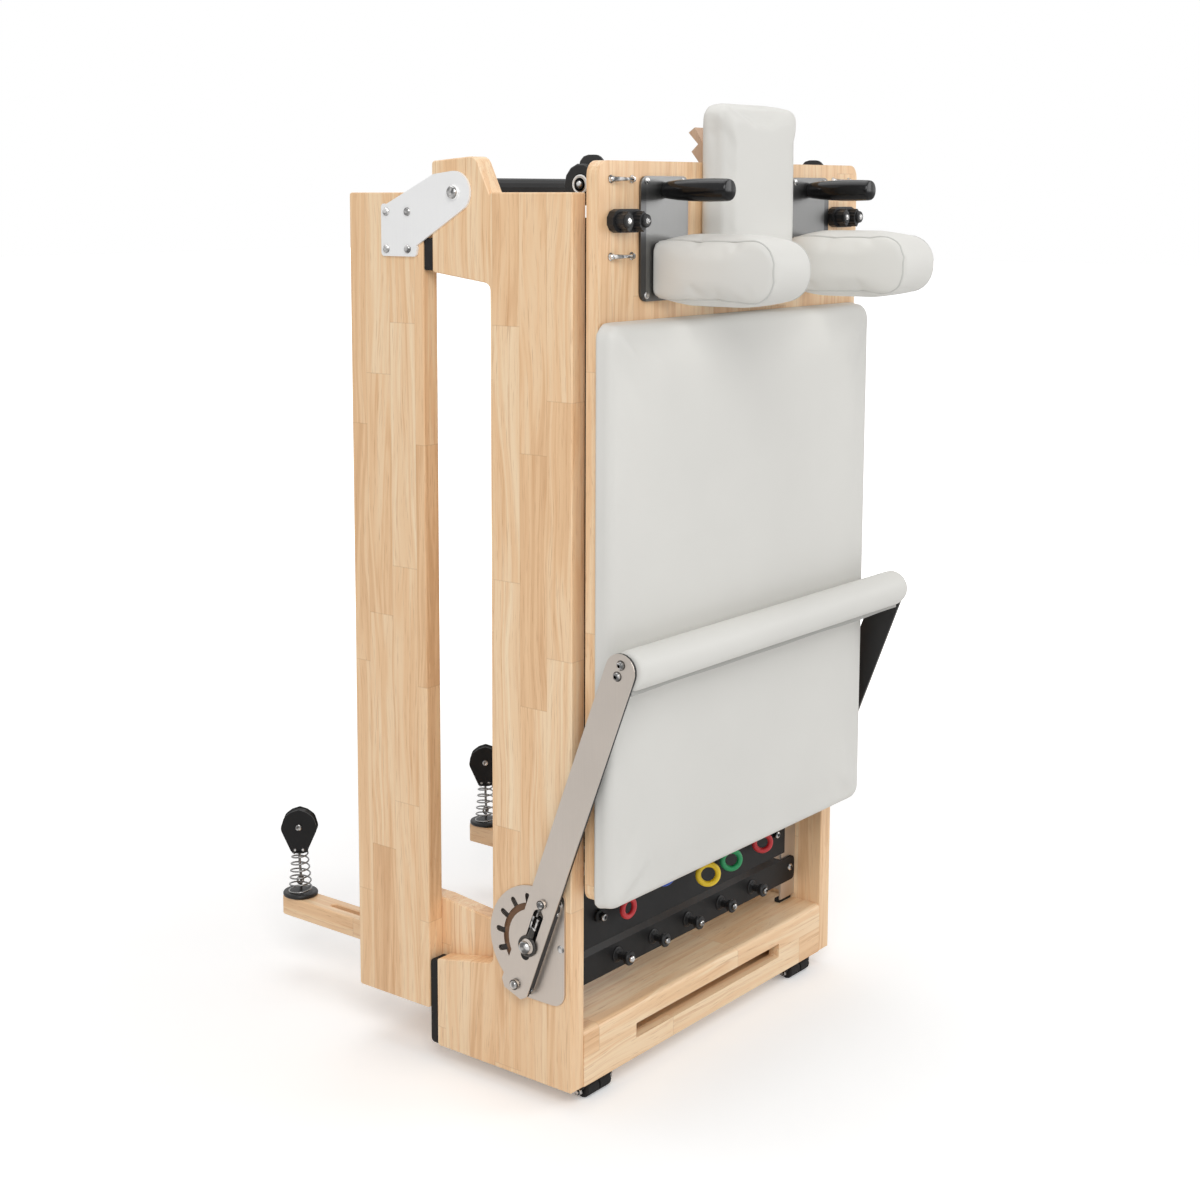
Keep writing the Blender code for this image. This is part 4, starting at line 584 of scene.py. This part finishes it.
def makeShoulder(side):
    look = shoulderCushion
    low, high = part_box("shoulder_pad_" + side)
    grow, inset, back = Vector(look["grow"]), look["inset"], high.y
    fitLow, fitHigh = low - grow, high + Vector((0, 0, grow.z)) - boardGap
    low, high = low + Vector((inset, inset, inset)), high - Vector((inset, 0, inset))
    bm = boxBetween(low, high)
    softened(bm, [e for e in bm.edges if all(abs(v.co.y - low.y) < 0.0001 for v in e.verts)
                  and abs(e.verts[0].co.x - e.verts[1].co.x) > 0.01], look["nose"], 9)
    softened(bm, [e for e in bm.edges if not all(abs(v.co.y - back) < 0.0001 for v in e.verts)
                  and abs(e.verts[0].co.x - e.verts[1].co.x) < 0.0001], look["rim"], 3)
    piece = puffed("shoulderCushion" + side.title(), bm, look, lambda co: co.y > back - look["held"])
    fitted(piece, fitLow, fitHigh)
    middle = (low.z + high.z) / 2
    for v in piece.data.vertices:  # drawn in a little where the cover is pulled over to the back
        t = max(0.0, (v.co.y - back) / look["taperLength"] + 1)
        v.co.z = middle + (v.co.z - middle) * (1 - look["taper"] * t * t)
    seamBm = bmesh.new()
    tree = BVHTree.FromObject(piece, bpy.context.evaluated_depsgraph_get())
    for edge, sign in ((low.x, 1), (high.x, -1)):
        path = noseOutline(low, high, back, look["nose"], edge + sign * look["seamInset"])
        wireForm(seamBm, [tree.find_nearest(p)[0] for p in path], look["seam"], 6)
    newPiece("shoulderSeam" + side.title(), seamBm, "carriage", "piping", 38)
    cushioned(piece, "carriage", ["shoulder_pad_" + side])


def noseOutline(low, high, back, nose, x):  # the D that the side panel is cut to
    straight = back - low.y - nose - 0.004
    turns = [math.radians(90 * i / 8) for i in range(1, 9)]
    path = [(back - 0.004 - straight * i / 8, high.z) for i in range(9)]
    path += [(low.y + nose - nose * math.sin(a), high.z - nose + nose * math.cos(a)) for a in turns[:-1]]
    path += [(low.y, high.z - nose), (low.y, low.z + nose)]
    path += [(low.y + nose - nose * math.cos(a), low.z + nose - nose * math.sin(a)) for a in turns]
    path += [(low.y + nose + straight * i / 8, low.z) for i in range(1, 9)]
    return [Vector((x, *place)) for place in path]


for side in ("left", "right"):
    makeShoulder(side)
print("shoulder cushions made")

# Footbar sleeve: vinyl pulled round the bar and closed by a seam that runs along underneath
barSleeve = {"radius": 0.0262, "lip": 0.0045, "lipWidth": 0.0016, "lipOut": 0.0015, "lipEdge": 0.0007, "cap": 0.0022,
             "voxel": 0.0045, "pressure": 3.0, "held": 0.006, "seamTurn": 187.0, "fill": 0.6,
             "end": [(-0.004, 0), (-0.001, 0.002), (0, 0.006), (0, 0.05)], "shorter": 0.0006, "gather": 0.0022,
             "gatherFrom": 0.86}


def makeSleeve():
    look = barSleeve
    low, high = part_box("footbar_roll")
    middle = (low + high) / 2
    reach = (high.x - low.x) / 2 - look["shorter"]
    bm = bmesh.new()
    rings = [(look["radius"] + less, -reach + inward) for less, inward in look["end"]]
    rings += [(look["radius"] + less, reach - inward) for less, inward in reversed(look["end"])]
    form = turnedForm(bm, rings, Matrix.Rotation(math.radians(90), 4, "Y"), 40)
    bmesh.ops.translate(bm, verts=list(form), vec=middle)
    turn = math.radians(look["seamTurn"])
    down = Vector((0, math.sin(turn), math.cos(turn)))
    start = look["gatherFrom"]
    for v in bm.verts:  # drawn in towards the seam, as a sleeve closed by its two edges is
        out = Vector((0, v.co.y - middle.y, v.co.z - middle.z))
        pull = max(0.0, out.normalized().dot(down) - start) / (1 - start) if out.length > 0.001 else 0.0
        v.co += down * (pull ** 1.5) * look["gather"]
    piece = puffed("footbarSleeve", bm, look, lambda co: abs(co.x) > reach - look["held"])
    limit = max(abs(low.x), abs(high.x)) - 0.0002
    for v in piece.data.vertices:
        v.co.x = max(-limit, min(limit, v.co.x))
    cushioned(piece, "footbar", ["footbar_roll"])
    lip = bmesh.new()
    place = Matrix.Translation(middle + down * (look["radius"] + look["lipOut"])) @ Matrix.Rotation(-turn, 4, "X")
    blockForm(lip, (2 * reach - 0.004, look["lipWidth"] * 2, look["lip"] * 2), place, look["lipEdge"])
    lengths = [e for e in lip.edges if abs(e.verts[0].co.x - e.verts[1].co.x) > 0.1]
    bmesh.ops.subdivide_edges(lip, edges=lengths, cuts=90, use_grid_fill=False)
    wobble = random.Random(7)
    phases = [(wobble.uniform(20, 60), wobble.uniform(0, 6), wobble.uniform(0.0002, 0.0006)) for _ in range(4)]
    side = Vector((0, down.z, -down.y))
    for v in lip.verts:
        sway = sum(size * math.sin(v.co.x * rate + phase) for rate, phase, size in phases)
        v.co += side * sway * 0.6 + down * sway * 0.5
    newPiece("footbarSeam", lip, "footbar", "seamThread", 50)
    print("footbar sleeve made")


makeSleeve()

# Carriage springs: close coils with a hook on the peg and a coloured ring to pull on
springLook = {"wire": 0.0013, "coil": 0.0098, "pitchOfTurns": 0.00326, "steps": 14, "high": 0.3763, "depth": 0.025,
              "peg": 0.3826, "pitch": 0.086, "gap": 0.0035, "hooks": (0.005, 0.0062)}
# node, colour, ring radius, ring thickness, ring height, how far the ring hangs forward and how far it is turned
springColors = [("spring_red_left", "redRing", 0.0124, 0.004, 0.208, 0.0, -4.0),
                ("spring_blue", "blueRing", 0.0128, 0.0042, 0.231, 0.0, -30.0),
                ("spring_yellow", "yellowRing", 0.0149, 0.0043, 0.212, 0.017, -42.0),
                ("spring_green", "greenRing", 0.0138, 0.0043, 0.2063, 0.0, -38.0),
                ("spring_red_right", "redRing", 0.0128, 0.0042, 0.2101, 0.0, -42.0)]


def spunWire(bm, major, tube, segments, steps, turns, rise, merge):  # a round wire spun about Z
    ring = bmesh.ops.create_circle(bm, cap_ends=False, radius=tube, segments=segments)["verts"]
    bmesh.ops.rotate(bm, verts=ring, cent=(0, 0, 0), matrix=Matrix.Rotation(math.pi / 2, 3, "X"))
    bmesh.ops.translate(bm, verts=ring, vec=(major, 0, 0))
    before = set(bm.verts) - set(ring)
    bmesh.ops.spin(bm, geom=ring + rimEdges(ring), cent=(0, 0, 0), axis=(0, 0, 1), dvec=(0, 0, rise / steps),
                   angle=turns * 2 * math.pi, steps=steps, use_merge=merge, use_duplicate=False)
    return [v for v in bm.verts if v not in before]


def ringForm(bm, major, tube, matrix, steps, segments):
    bmesh.ops.transform(bm, matrix=matrix, verts=spunWire(bm, major, tube, segments, steps, 1, 0, True))


def makeSpring(index, node, color, radius, tube, height, forward, turn):
    look = springLook
    word = "".join(part.title() for part in node.split("_")[1:])
    x = (index - 2) * look["pitch"]
    low = height + radius + tube + look["gap"]
    turns = round((look["high"] - low) / look["pitchOfTurns"])
    bm = bmesh.new()
    verts = spunWire(bm, look["coil"], look["wire"], 6, turns * look["steps"], turns, look["high"] - low, False)
    bmesh.ops.translate(bm, verts=verts, vec=at(x, look["depth"], low))
    lowHook, highHook = look["hooks"]
    for edge, aim, size in ((low, height + radius + 0.001, lowHook), (look["high"], look["peg"], highHook)):
        away = -1 if aim < edge else 1
        center = at(x, look["depth"], aim)
        path = [at(x + look["coil"], look["depth"], edge),
                at(x + look["coil"] * 0.7, look["depth"], edge + away * 0.003)]
        path += [center + Vector((math.cos(a) * size * 0.9, 0, math.sin(a) * size * -away))
                 for a in (math.radians(d) for d in range(20, 331, 26))]
        wireForm(bm, path, look["wire"], 6)
    top = at(0, 0, look["peg"]).z
    for v in bm.verts:  # leans forward with its ring, still hooked on its peg
        v.co.y -= forward * max(0.0, top - v.co.z) / (look["peg"] - height)
    newPiece("spring" + word, bm, "carriage", "springWire", 60, stands=[node])
    ring = bmesh.new()
    ringForm(ring, radius, tube, Matrix.Translation(at(x, look["depth"] - forward, height))
             @ Matrix.Rotation(math.radians(turn), 4, "Z") @ Matrix.Rotation(math.pi / 2, 4, "X"), 44, 12)
    newPiece("springRing" + word, ring, "carriage", color, 60)


for index, look in enumerate(springColors):
    makeSpring(index, *look)
print("springs made")

# Screws and small fittings
def screwHead(bm, place, direction, radius, height, socket=0.36, segments=18):  # button head with a hex socket
    rings = [(radius * 0.985, 0.0), (radius, height * 0.18), (radius * 0.93, height * 0.55),
             (radius * 0.78, height * 0.84), (radius * 0.6, height * 0.98), (radius * socket * 1.12, height),
             (radius * socket, height * 0.94), (radius * socket * 0.96, height * 0.45)]
    turnedForm(bm, rings, facing(direction, place, 0.3), segments)


def sunkScrew(bm, place, direction, radius):  # head let in level with the plate: a fine rim, a cone and a small socket
    rings = [(radius, 0.0), (radius, 0.0005), (radius * 0.9, 0.0008), (radius * 0.84, 0.0005), (radius * 0.36, 0.0006),
             (radius * 0.3, 0.0002)]
    turnedForm(bm, rings, facing(direction, place), 24)


# a flat dark ring, put under screw heads as painted shade round them
def shadeRingForm(bm, direction, place, radius, height):
    turnedForm(bm, [(radius, 0), (radius, height)], facing(direction, place), 20)


def turnedPiece(name, rings, matrix, segments, body, kind, sharp=30.0, stands=()):
    bm = bmesh.new()
    turnedForm(bm, rings, matrix, segments)
    newPiece(name, bm, body, kind, sharp, stands)


def screwPiece(name, spots, direction, body, size):
    bm = bmesh.new()
    for spot in spots:
        screwHead(bm, spot, direction, *size)
    newPiece(name, bm, body, "brightSteel")


def outwardOf(side):
    return Vector((-1 if side == "left" else 1, 0, 0))


toFront = Vector((0, -1, 0))
hingeScrews = {"spots": [(0.3205, 1.1743), (0.2812, 1.1743), (0.3205, 1.1241), (0.2812, 1.1241)], "face": 0.3358,
               "radius": 0.0058, "height": 0.0032, "pivot": (0.3383, 0.19725, 1.2003), "pivotRadius": 0.0088,
               "pivotHeight": 0.0048}
plateScrews = {"spots": [(0.0151, 0.2007), (0.018, 0.262)], "face": 0.3353, "radius": 0.0054}
barLine = {"tilt": math.radians(20.7), "pivot": (0.06, 0.199), "face": 0.3493}
armScrews = {"top": [(-0.093, 0.6078), (-0.0874, 0.5926)], "radius": 0.0058, "height": 0.0042,
             "slot": (0.0675, 0.0036, 0.0052, 0.0028), "low": (-0.064, 0.0036, 0.006, 0.003),
             "nut": (0.3566, 0.0092, 0.0046), "edge": (0.064, -0.062), "edgeSpot": (0.0231, -0.0082),
             "edgeSize": (0.0026, 0.0016)}


def alongBar(side, reach, across, out):  # a point on the stored footbar: up the arm, across it, and out from its face
    tilt, (y, z) = barLine["tilt"], barLine["pivot"]
    y -= math.sin(tilt) * reach + math.cos(tilt) * across
    z += math.cos(tilt) * reach - math.sin(tilt) * across
    return sideAt(side, barLine["face"] + out, y, z)


def makeFrameScrews(side):
    outward = outwardOf(side)
    look = hingeScrews
    bm = bmesh.new()
    for y, z in look["spots"]:
        screwHead(bm, sideAt(side, look["face"], y, z), outward, look["radius"], look["height"])
    screwHead(bm, sideAt(side, *look["pivot"]), outward, look["pivotRadius"], look["pivotHeight"])
    newPiece("hingeScrews" + side.title(), bm, "head_half", "brightSteel")
    bm = bmesh.new()
    for y, z in plateScrews["spots"]:
        sunkScrew(bm, sideAt(side, plateScrews["face"], y, z), outward, plateScrews["radius"])
    x, radius, height = armScrews["nut"]
    screwHead(bm, sideAt(side, x, *barLine["pivot"]), outward, radius, height)
    newPiece("ratchetScrews" + side.title(), bm, "foot_frame", "brightSteel")
    bm = bmesh.new()
    for y, z in armScrews["top"]:
        screwHead(bm, sideAt(side, barLine["face"], y, z), outward, armScrews["radius"], armScrews["height"])
    for reach, out, radius, height in (armScrews["slot"], armScrews["low"]):
        screwHead(bm, alongBar(side, reach, 0, out), outward, radius, height)
    forward = Vector((0, -math.cos(barLine["tilt"]), -math.sin(barLine["tilt"])))
    for reach in armScrews["edge"]:
        screwHead(bm, alongBar(side, reach, *armScrews["edgeSpot"]), forward, *armScrews["edgeSize"])
    newPiece("armScrews" + side.title(), bm, "footbar", "brightSteel")
    shadeRings = bmesh.new()  # painted shade: dark rings that show as a fine line of shade round the heads
    for y, z in armScrews["top"]:
        shadeRingForm(shadeRings, outward, sideAt(side, barLine["face"], y, z), armScrews["radius"] + 0.0008, 0.0005)
    for reach, out, radius, height in (armScrews["slot"], armScrews["low"]):
        shadeRingForm(shadeRings, outward, alongBar(side, reach, 0, out - 0.0004), radius + 0.0012, 0.0006)
    newPiece("armScrewShade" + side.title(), shadeRings, "footbar", "darkZinc")


adjuster = {"eye": (0.0128, 0.0022, 0.0024), "shankStart": (0.014, 0.0014), "frame": (0.038, 0.0024),
            "shank": [(0.004, 0), (0.005, 0.002), (0.0048, 0.01), (0.0036, 0.0155)],
            "bar": (0.0034, 0.0026, 0.017), "spread": 0.0038, "foot": 0.03, "footSize": (0.004, 0.0104, 0.0034),
            "head": 0.0454, "headSize": (0.004, 0.0034, 0.0034), "rod": (0.0013, 0.016, 0.0492, 0.0022),
            "slotEnd": (-0.0152, 0.0072, 0.0003)}


def makeAdjuster(side):  # eye round the pivot nut, its shank, and the turnbuckle below the slot's bolt
    look = adjuster
    out = outwardOf(side)
    tilt = Matrix.Rotation(barLine["tilt"], 4, "X")
    up = tilt @ Vector((0, 0, 1))
    bm = bmesh.new()
    major, tube, lift = look["eye"]
    ringForm(bm, major, tube, facing(out, alongBar(side, 0, 0, lift)), 32, 8)
    reach, lift = look["shankStart"]
    turnedForm(bm, look["shank"], facing(up, alongBar(side, reach, 0, lift)), 14)
    newPiece("barEye" + side.title(), bm, "footbar_hub", "darkZinc", 35)
    bm = bmesh.new()
    reach, lift = look["frame"]
    for shift in (-look["spread"], look["spread"]):
        blockForm(bm, look["bar"], Matrix.Translation(alongBar(side, reach, shift, lift)) @ tilt, 0.0006)
        blockForm(bm, look["headSize"], Matrix.Translation(alongBar(side, look["head"], shift, lift)) @ tilt, 0.0006)
    blockForm(bm, look["footSize"], Matrix.Translation(alongBar(side, look["foot"], 0, lift)) @ tilt, 0.0008)
    newPiece("barTurnbuckle" + side.title(), bm, "footbar_hub", "brightSteel", 35)
    radius, length, place, lift = look["rod"]  # goes down between the turnbuckle's bars when the arm is let down
    turnedPiece("barRod" + side.title(), [(radius, 0), (radius, length)],
                facing(up, alongBar(side, place, 0, lift)), 10, "footbar", "brightSteel", 35)
    # a thin black disc on the arm below the pivot: painted shade in the end of the arm's slot
    place, radius, height = look["slotEnd"]
    turnedPiece("slotShade" + side.title(), [(radius, 0), (radius, height)],
                facing(out, alongBar(side, place, 0, 0)), 28, "footbar", "rubber", 35)


padEye = {"ends": (0.2932, 0.249), "heights": (1.2168, 1.1188), "wire": 0.0029, "rise": 0.0085, "foot": 0.0052,
          "face": 0.0313, "footHeight": 0.002, "headHeight": 0.0034, "inward": 0.0035, "bow": 0.55}


def makePadEyes(side):
    look = padEye
    bm = bmesh.new()
    for z in look["heights"]:
        feet = [sideAt(side, x, -look["face"], z) for x in look["ends"]]
        for foot in feet:
            top = look["footHeight"]
            turnedForm(bm, [(look["foot"], 0), (look["foot"], top / 2), (look["foot"] * 0.8, top)],
                       facing(toFront, foot), 16)
            screwHead(bm, foot + toFront * top, toFront, look["foot"] * 0.8, look["headHeight"])
        ends = [foot + (feet[1 - i] - foot).normalized() * look["inward"] for i, foot in enumerate(feet)]
        path = []
        for i in range(15):
            rise = look["footHeight"] + look["rise"] * math.sin(math.pi * i / 14) ** look["bow"]
            path.append(ends[0].lerp(ends[1], i / 14) + toFront * rise)
        wireForm(bm, path, lambda t: look["wire"] * (1.2 - 0.4 * math.sin(math.pi * min(t, 1))), 8)
    newPiece("padEyes" + side.title(), bm, "carriage", "brightSteel", 40)


boardScrews = {"spots": [(0.22, 1.2145), (0.22, 1.067), (0.14, 1.2145), (0.14, 1.067)], "face": 0.0343,
               "size": (0.005, 0.0026)}
camCap = {"spots": (("outer", 0.2875), ("inner", 0.2485)), "height": 1.164, "face": 0.0536,
          "rings": [(0.0086, 0), (0.0088, 0.0012), (0.0084, 0.0028), (0.0072, 0.0036)],
          "screw": (0.0572, 0.0042, 0.0016)}


def makeCarriageScrews(side):
    spots = [sideAt(side, x, -boardScrews["face"], z) for x, z in boardScrews["spots"]]
    screwPiece("bracketScrews" + side.title(), spots, toFront, "carriage", boardScrews["size"])
    depth, *size = camCap["screw"]
    z = camCap["height"]
    for word, x in camCap["spots"]:
        name, body = word.title() + side.title(), f"cleat_cam_{word}_{side}"
        turnedPiece("camCap" + name, camCap["rings"], facing(toFront, sideAt(side, x, -camCap["face"], z)), 20, body,
                    "blackPlastic")
        screwPiece("camScrew" + name, [sideAt(side, x, -depth, z)], toFront, body, size)


# A glossy barrel grip with a flat end, the widest a little way in from the end
grip = {"inward": 0.005,
        "rings": [(0.0104, 0), (0.0116, 0.006), (0.0132, 0.02), (0.0143, 0.038), (0.0149, 0.056), (0.015, 0.072),
                  (0.0148, 0.086), (0.0144, 0.097), (0.0139, 0.0998), (0.013, 0.1012), (0.0122, 0.1016)]}


def makeGrip(side):
    node = "shoulder_handle_" + side
    low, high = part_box(node)
    middle = (low + high) / 2
    middle.x -= math.copysign(grip["inward"], middle.x)
    turnedPiece("shoulderGrip" + side.title(), grip["rings"],
                facing(toFront, Vector((middle.x, high.y - 0.0001, middle.z))), 40, "carriage", "glossGrip",
                stands=[node])


# size, middle, softened edge and body; the runner is a black strip behind the board's edge over the rail, between its
# wheels: painted shade that darkens the slit between board and rail
blocks = {"lugRubber": ((0.0262, 0.0154, 0.043), (0.318, 0.2482, 1.1175), 0.002, "foot_frame"),
          "trackFoot": ((0.034, 0.01, 0.0064), (0.283, 0.056, 0.0821), 0.001, "foot_frame"),
          "slitShadeRunner": ((0.0062, 0.0177, 0.831), (0.2991, -0.00285, 0.7525), 0.0012, "carriage")}


def makeBlocks(side):
    for name, (size, spot, edge, body) in blocks.items():
        bm = bmesh.new()
        blockForm(bm, size, Matrix.Translation(sideAt(side, *spot)), edge)
        newPiece(name + side.title(), bm, body, "rubber", 40)


rollerNut = {"radius": 0.0056, "length": 0.0075, "stem": 0.0034, "stemLength": 0.0105}


def makeRollerNuts(side):
    look = rollerNut
    radius, length = look["radius"], look["length"]
    rings = [(radius, 0), (radius, length - 0.001), (radius * 0.85, length), (look["stem"], length),
             (look["stem"], look["stemLength"])]
    low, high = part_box("transport_roller_" + side)
    middle = (low + high) / 2
    bm = bmesh.new()
    for x, way in ((low.x, -1), (high.x, 1)):
        turnedForm(bm, rings, facing(Vector((way, 0, 0)), Vector((x - way * 0.0005, middle.y, middle.z))), 6)
    newPiece("rollerNuts" + side.title(), bm, "foot_frame", "brightSteel")


hub = {"spots": (("top", 1.21), ("low", 0.3)), "face": (0.29, 0.0207), "ring": (0.0112, 0.0016),
       "bearing": [(0.0098, -0.0006), (0.0098, 0.0004), (0.0086, 0.0009), (0.0062, 0.0009), (0.0058, 0.0004),
                   (0.0052, 0.0004), (0.004, 0.0006)], "screw": (0.0008, 0.0046, 0.003)}


def makeHubs(side):
    outward = outwardOf(side)
    for word, z in hub["spots"]:
        name, body = word.title() + side.title(), f"carriage_wheel_{word}_{side}"
        face = sideAt(side, *hub["face"], z)
        bm = bmesh.new()
        ringForm(bm, *hub["ring"], facing(outward, face - outward * 0.0004), 40, 8)
        newPiece("hubRing" + name, bm, body, "whitePlastic", 50)
        turnedPiece("hubBearing" + name, hub["bearing"], facing(outward, face), 28, body, "zincPlate")
        depth, *size = hub["screw"]
        screwPiece("hubScrew" + name, [face + outward * depth], outward, "carriage", size)


gearPosts = {"count": 5, "pitch": 0.086, "height": 0.1345, "tip": 0.0192, "screw": (0.0052, 0.004),
             "flangeAt": 0.0242, "rootAt": 0.0442,
             "flange": [(0.008, 0), (0.01, 0.001), (0.0103, 0.0032), (0.0094, 0.0046), (0.0064, 0.005)],
             "root": [(0.0112, 0), (0.0112, 0.0014), (0.0098, 0.0024), (0.0064, 0.0026)],
             "end": (0.2826, 0.0442, 0.136), "barBolt": (0.222, 0.03, 0.208), "boltSize": (0.0058, 0.0034)}


def makeGearScrews():
    look = gearPosts
    bm = bmesh.new()
    flanges = bmesh.new()
    for side in ("left", "right"):
        screwHead(bm, sideAt(side, *look["end"]), toFront, *look["boltSize"])
    for i in range(look["count"]):
        x = (i - (look["count"] - 1) / 2) * look["pitch"]
        screwHead(bm, at(x, look["tip"], look["height"]), toFront, *look["screw"])
        for word in ("flange", "root"):
            turnedForm(flanges, look[word], facing(toFront, at(x, look[word + "At"], look["height"])), 24)
    newPiece("gearScrews", bm, "foot_frame", "brightSteel")
    newPiece("gearFlanges", flanges, "foot_frame", "blackPlastic")
    screwPiece("springBarScrews", [sideAt(side, *look["barBolt"]) for side in ("left", "right")], toFront, "carriage",
               look["boltSize"])


pulleyLook = {"wire": 0.0013, "turns": 6.5, "base": 0.0185, "top": 0.0118, "floor": 0.1052, "ceiling": 0.1692,
              "cupFloor": 0.0991, "center": (-0.2234, 0.633), "block": 0.1698, "axle": 0.2118,
              "turn": -51.0, "rod": 0.0021, "eye": (0.0062, 0.0017, 0.018), "axleHead": (0.0118, 0.005, 0.0018),
              "rivet": (0.0103, 0.0062, 0.0052, 0.0024, 0.0012),
              "cup": [(0.0245, 0), (0.0267, 0.0006), (0.0275, 0.0022), (0.0275, 0.0044), (0.0265, 0.006),
                      (0.0245, 0.0066), (0.0223, 0.0058), (0.0213, 0.0036), (0.0195, 0.003), (0.01, 0.003),
                      (0.0085, 0.0046), (0.004, 0.005)]}


def makePulley(side):
    look = pulleyLook
    x, y = look["center"]
    x = x if side == "left" else -x
    floor, rise = look["floor"], look["ceiling"] - look["floor"]
    bm = bmesh.new()
    count = int(look["turns"] * 26)
    path = []
    for t in [i / count for i in range(count + 1)]:  # the first and last turn lie flat
        radius = look["base"] + (look["top"] - look["base"]) * t
        a = 2 * math.pi * look["turns"] * t
        z = floor + rise * min(1, max(0, (t - 0.06) / 0.88))
        path.append(at(x + radius * math.cos(a), y + radius * math.sin(a), z))
    wireForm(bm, path, look["wire"], 8)
    wireForm(bm, [at(x + 0.004 * math.sin(t * 3.6 + 1.2), y + 0.003 * math.cos(t * 3.1), floor + rise * t)
                  for t in [i / 16 for i in range(17)]], look["rod"], 8)
    major, tube, lift = look["eye"]
    ringForm(bm, major, tube, Matrix.Translation(at(x, y, floor + lift)) @ Matrix.Rotation(1.2, 4, "Y")
             @ Matrix.Rotation(math.pi / 2, 4, "X"), 24, 8)
    newPiece("pulleyCoil" + side.title(), bm, f"riser_{side}", "springWire", 60, stands=[f"pulley_spring_{side}"])
    turnedPiece("pulleyCup" + side.title(), look["cup"], Matrix.Translation(at(x, y, look["cupFloor"])), 40,
                f"riser_{side}", "blackPlastic", 40)
    rivets = bmesh.new()
    turn = math.radians(look["turn"])
    out = Vector((math.sin(turn), -math.cos(turn), 0))
    across = Vector((math.cos(turn), math.sin(turn), 0))
    for way in (1, -1):
        depth, radius, height = look["axleHead"]
        screwHead(rivets, at(x, y, look["axle"]) + out * way * depth, out * way, radius, height)
        depth, spread, lift, radius, height = look["rivet"]
        for shift in (-spread, spread):
            spot = at(x, y, look["block"] + lift) + out * way * depth + across * shift
            screwHead(rivets, spot, out * way, radius, height, 0.3, 14)
    newPiece("pulleyRivets" + side.title(), rivets, f"pulley_block_{side}", "brightSteel")


for side in ("left", "right"):
    for make in (makeFrameScrews, makeAdjuster, makePadEyes, makeCarriageScrews, makeGrip, makeBlocks, makeRollerNuts,
                 makeHubs, makePulley):
        make(side)
makeGearScrews()
print("fittings made")

# The room: floor, backdrop, lamps, camera
room = {"floor": 60.0, "tone": (0.93, 0.93, 0.93), "sky": 0.42, "lift": 0.22}
# name, place, aim, size and power
lamps = [("keyLamp", (-3.2, -2.6, 3.4), (0, 0, 0.7), 2.4, 95.0), ("fillLamp", (2.8, -3.4, 2.2), (0, 0, 0.7), 2.4, 50.0),
         ("topLamp", (0.2, 0.6, 4.2), (0, 0, 0.6), 3.0, 45.0)]


def whiteToCamera(name, color):  # the floor shows white to the camera and keeps the object's shadow
    made, shader, here = newFinish(name)
    x, y = here.split()[:2]
    away = (x * x + y * y).math("SQRT").ramp(0.5, 3.4, room["lift"], 1.0)
    shown = here.node("ShaderNodeLightPath", output="Is Camera Ray") * away
    wire(made, shader, here.noise(3.0).mix(rgba(color), rgba(color, 1.02)), 0.9, others=[
        ("Emission Color", shown.mix((0, 0, 0, 1), (1, 1, 1, 1))), ("Emission Strength", 1.0),
        ("Specular IOR Level", 0.1)])


def makeRoom():
    bm = bmesh.new()
    bmesh.ops.create_grid(bm, x_segments=1, y_segments=1, size=room["floor"] / 2)
    floor = placed("floor", bpy.data.meshes.new("floor"))
    bm.to_mesh(floor.data)
    bm.free()
    whiteToCamera("floorPaint", room["tone"])
    floor.data.materials.append(finish["floorPaint"])


def areaLamp(name, place, aim, size, power):
    lamp = placed(name, bpy.data.lights.new(name, "AREA"))
    lamp.data.size = size
    lamp.data.energy = power
    lamp.location = place
    lamp.rotation_euler = (Vector(aim) - Vector(place)).to_track_quat("-Z", "Y").to_euler()


def makeLight():
    world = bpy.data.worlds.new("studio")
    bpy.context.scene.world = world
    world.use_nodes = True
    tree = world.node_tree
    sky = tree.nodes["Background"]
    sky.inputs[0].default_value = (1, 1, 1, 1)
    sky.inputs[1].default_value = room["sky"]
    plain = Sock(tree, sky.outputs[0])
    white = plain.node("ShaderNodeBackground", {}, {0: (1, 1, 1, 1), 1: 1.0})
    seen, mirrored = [plain.node("ShaderNodeLightPath", output=ray) for ray in ("Is Camera Ray", "Is Glossy Ray")]
    blend = plain.node("ShaderNodeMixShader", {}, {0: (seen + mirrored).clamped(), 1: plain, 2: white})
    tree.links.new(blend.out, tree.nodes["World Output"].inputs[0])
    for lamp in lamps:
        areaLamp(*lamp)


view = {"place": (-2.2458, -1.738, 1.2247), "azimuth": -50.98, "elevation": 7.72, "lens": 57.69,
        "shift": (0.0402, -0.121)}


def makeCamera():
    camera = placed("camera", bpy.data.cameras.new("camera"))
    turn, tilt = math.radians(view["azimuth"]), math.radians(view["elevation"])
    back = Vector((math.sin(turn) * math.cos(tilt), -math.cos(turn) * math.cos(tilt), math.sin(tilt)))
    camera.location = view["place"]
    camera.rotation_euler = back.to_track_quat("Z", "Y").to_euler()
    camera.data.lens = view["lens"]
    camera.data.sensor_width = 36.0
    camera.data.shift_x, camera.data.shift_y = view["shift"]
    bpy.context.scene.camera = camera


makeRoom()
makeLight()
makeCamera()
bpy.context.scene.view_settings.view_transform = "Standard"
print("room, lamps and camera set")
